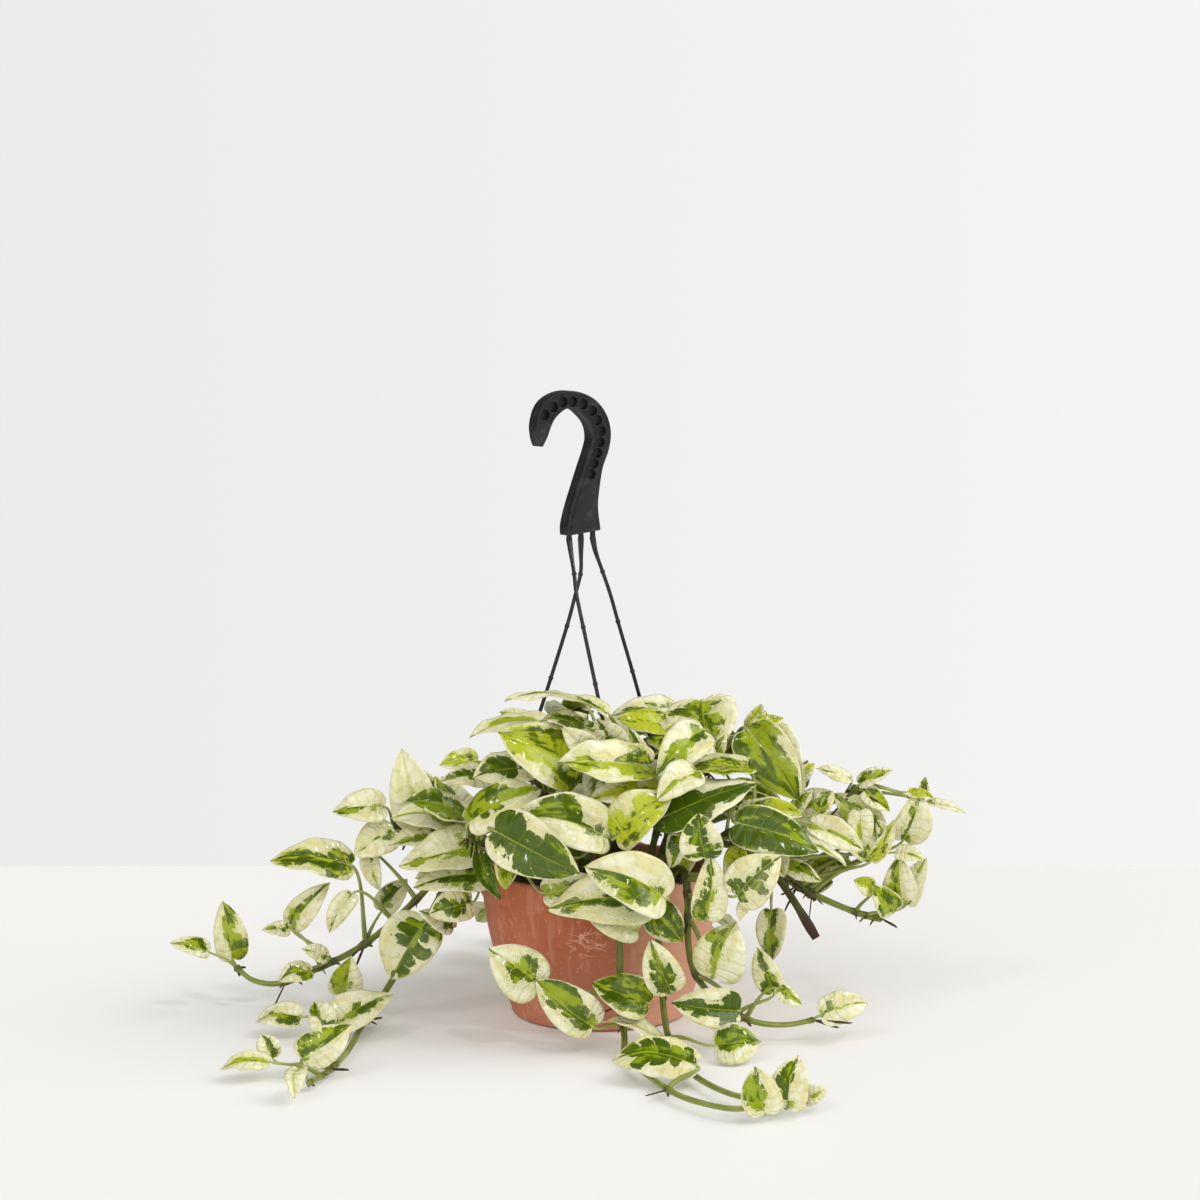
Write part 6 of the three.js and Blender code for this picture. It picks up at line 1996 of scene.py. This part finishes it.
    def roots_object(self, name: str, plant: Plant, blades: Sequence[Blade], seed: int) -> Piece:
        """Sets short aerial roots at the knots of the stem.

        Args:
            name: The object's name.
            plant: The plant.
            blades: Its leaves, whose roots are the knots.
            seed: The seed of the draws.

        Returns:
            The object.
        """
        draw = Draws(seed)
        marks, ways, lengths = [], [], []
        for blade in blades:
            for _ in range(self.roots_per_knot):
                spread = np.array((draw() - 0.5, draw() - 0.5, -self.root_droop * draw()))
                length = self.shortest_root + (self.longest_root - self.shortest_root) * draw() ** 5
                way = unit(spread)
                end = blade.root + way * length * 1.3
                beside = math.hypot(end[0], end[1]) > POT_RIM_RADIUS + self.pot_zone
                if end[2] < 1.0:
                    way = unit(np.array((way[0], way[1], 0.02)))
                if beside or end[2] > POT_HEIGHT + self.pot_zone:
                    marks.append(blade.root)
                    ways.append(way)
                    lengths.append(length)
        if not marks:
            marks, ways, lengths = [blades[0].root], [UP], [self.shortest_root]
        piece = mesh_object(name, np.array(marks), ())
        store(piece.data, "peg_way", np.array(ways))
        widths = np.full(len(lengths), self.root_radius)
        store(piece.data, "peg_size", np.column_stack((widths, widths, lengths)) * METRES)
        sizes = {"Bend": self.root_bend, "Seed": seed, "Material": self.bark_material}
        return grow_nodes(piece, self.pegs, sizes)

    def build(self, layout: Layout) -> list[Piece]:
        """Builds every leafy stem.

        Args:
            layout: Where the leaves stand.

        Returns:
            One object for each stem.
        """
        pieces = []
        for order, plant in enumerate(layout.plants):
            blades = layout.settle(plant, order)
            name = plant.name + "_foliage"
            parts = (
                self.blades_object(name, blades),
                self.stems_object(plant.name + "_stems", plant, blades),
                self.roots_object(plant.name + "_roots", plant, blades, self.root_seed + order),
            )
            piece = join(parts)
            finish_piece(piece, plant.name)
            pieces.append(piece)
        return pieces


@dataclass(frozen=True)
class SoftSun:
    """One broad soft light from far away.

    Attributes:
        place: The way towards the light.
        strength: Its strength.
        spread: Its apparent size in degrees.
    """

    place: Point
    strength: float
    spread: float


@dataclass
class Studio:
    """The pale floor, the soft lights and the camera."""

    floor: PaleFloor = field(default_factory=PaleFloor)
    floor_reach: float = 6000.0
    floor_back: float = 489.0
    sky_light: float = 0.4
    sky_shine: float = 0.12
    sky_colour: Colour = (1.0, 0.975, 0.93)
    backdrop_colour: Colour = (1.0, 1.0, 0.99)
    backdrop: float = 0.868
    backdrop_slope: float = 0.19
    suns: tuple[SoftSun, ...] = (
        SoftSun((0.9, 0.0, 0.85), 1.5, 45.0),
        SoftSun((0.45, -0.6, 0.9), 0.35, 6.0),
        SoftSun((-0.5, -0.7, 0.8), 0.15, 4.0),
        SoftSun((-0.3, -1.0, 0.5), 1.1, 70.0),
    )

    def build_world(self) -> bpy.types.World:
        """Returns the world: an even sky for light, dimmer in gloss, and a plain backdrop for the camera."""
        world = bpy.data.worlds.new("soft_sky")
        world.use_nodes = True
        tree = NodeTree(world.node_tree)
        rays = tree.add("ShaderNodeLightPath").outputs
        shine = self.sky_shine - self.sky_light
        dimmed = tree.math("MULTIPLY_ADD", rays["Is Glossy Ray"], shine, self.sky_light)
        sky = world.node_tree.nodes["Background"]
        tree.feed(sky.inputs["Color"], self.sky_colour)
        tree.feed(sky.inputs["Strength"], dimmed)
        way = tree.add("ShaderNodeTexCoord").outputs["Generated"]
        across = tree.add("ShaderNodeSeparateXYZ", {"Vector": way}).outputs["X"]
        slope = tree.math("MULTIPLY_ADD", across, self.backdrop_slope, self.backdrop)
        backdrop = tree.add("ShaderNodeBackground", {"Color": self.backdrop_colour, "Strength": slope})
        seen = tree.add("ShaderNodeMixShader", {"Fac": rays["Is Camera Ray"]})
        tree.feed(seen.inputs[1], sky.outputs[0])
        tree.feed(seen.inputs[2], backdrop.outputs[0])
        tree.feed(world.node_tree.nodes["World Output"].inputs["Surface"], seen.outputs[0])
        return world

    def build(self) -> None:
        """Builds the studio."""
        reach, back = self.floor_reach, self.floor_back
        corners = np.array(((-reach, -reach, 0), (reach, -reach, 0), (reach, back, 0), (-reach, back, 0)))
        floor = mesh_object("floor", corners, ((0, 1, 2, 3),))
        floor.data.materials.append(self.floor.material())
        scene = bpy.context.scene
        scene.world = self.build_world()
        scene.view_settings.view_transform = "Standard"
        for index, sun in enumerate(self.suns):
            data = bpy.data.lights.new(f"soft_sun_{index}", "SUN")
            data.energy = sun.strength
            data.angle = math.radians(sun.spread)
            light = bpy.data.objects.new(data.name, data)
            light.rotation_euler = (-Vector(sun.place)).to_track_quat("-Z", "Y").to_euler()
            scene.collection.objects.link(light)
        camera_data = bpy.data.cameras.new("photo_camera")
        camera_data.lens = EYE_LENS
        camera = bpy.data.objects.new("photo_camera", camera_data)
        camera.location = (0, EYE_DEPTH * METRES, EYE_HEIGHT * METRES)
        camera.rotation_euler = (math.pi / 2 - EYE_PITCH, 0, 0)
        scene.collection.objects.link(camera)
        scene.camera = camera


def main() -> None:
    """Builds the plant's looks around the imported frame."""
    logging.basicConfig(level=logging.INFO, format="%(name)s: %(message)s")
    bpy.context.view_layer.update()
    hanger = Hanger()
    Pot().build([strand.bearing for strand in hanger.strands.values()])
    Soil().build()
    hanger.build()
    LeafyStems().build(Layout(PLANTS))
    Studio().build()


if __name__ == "__main__":
    main()
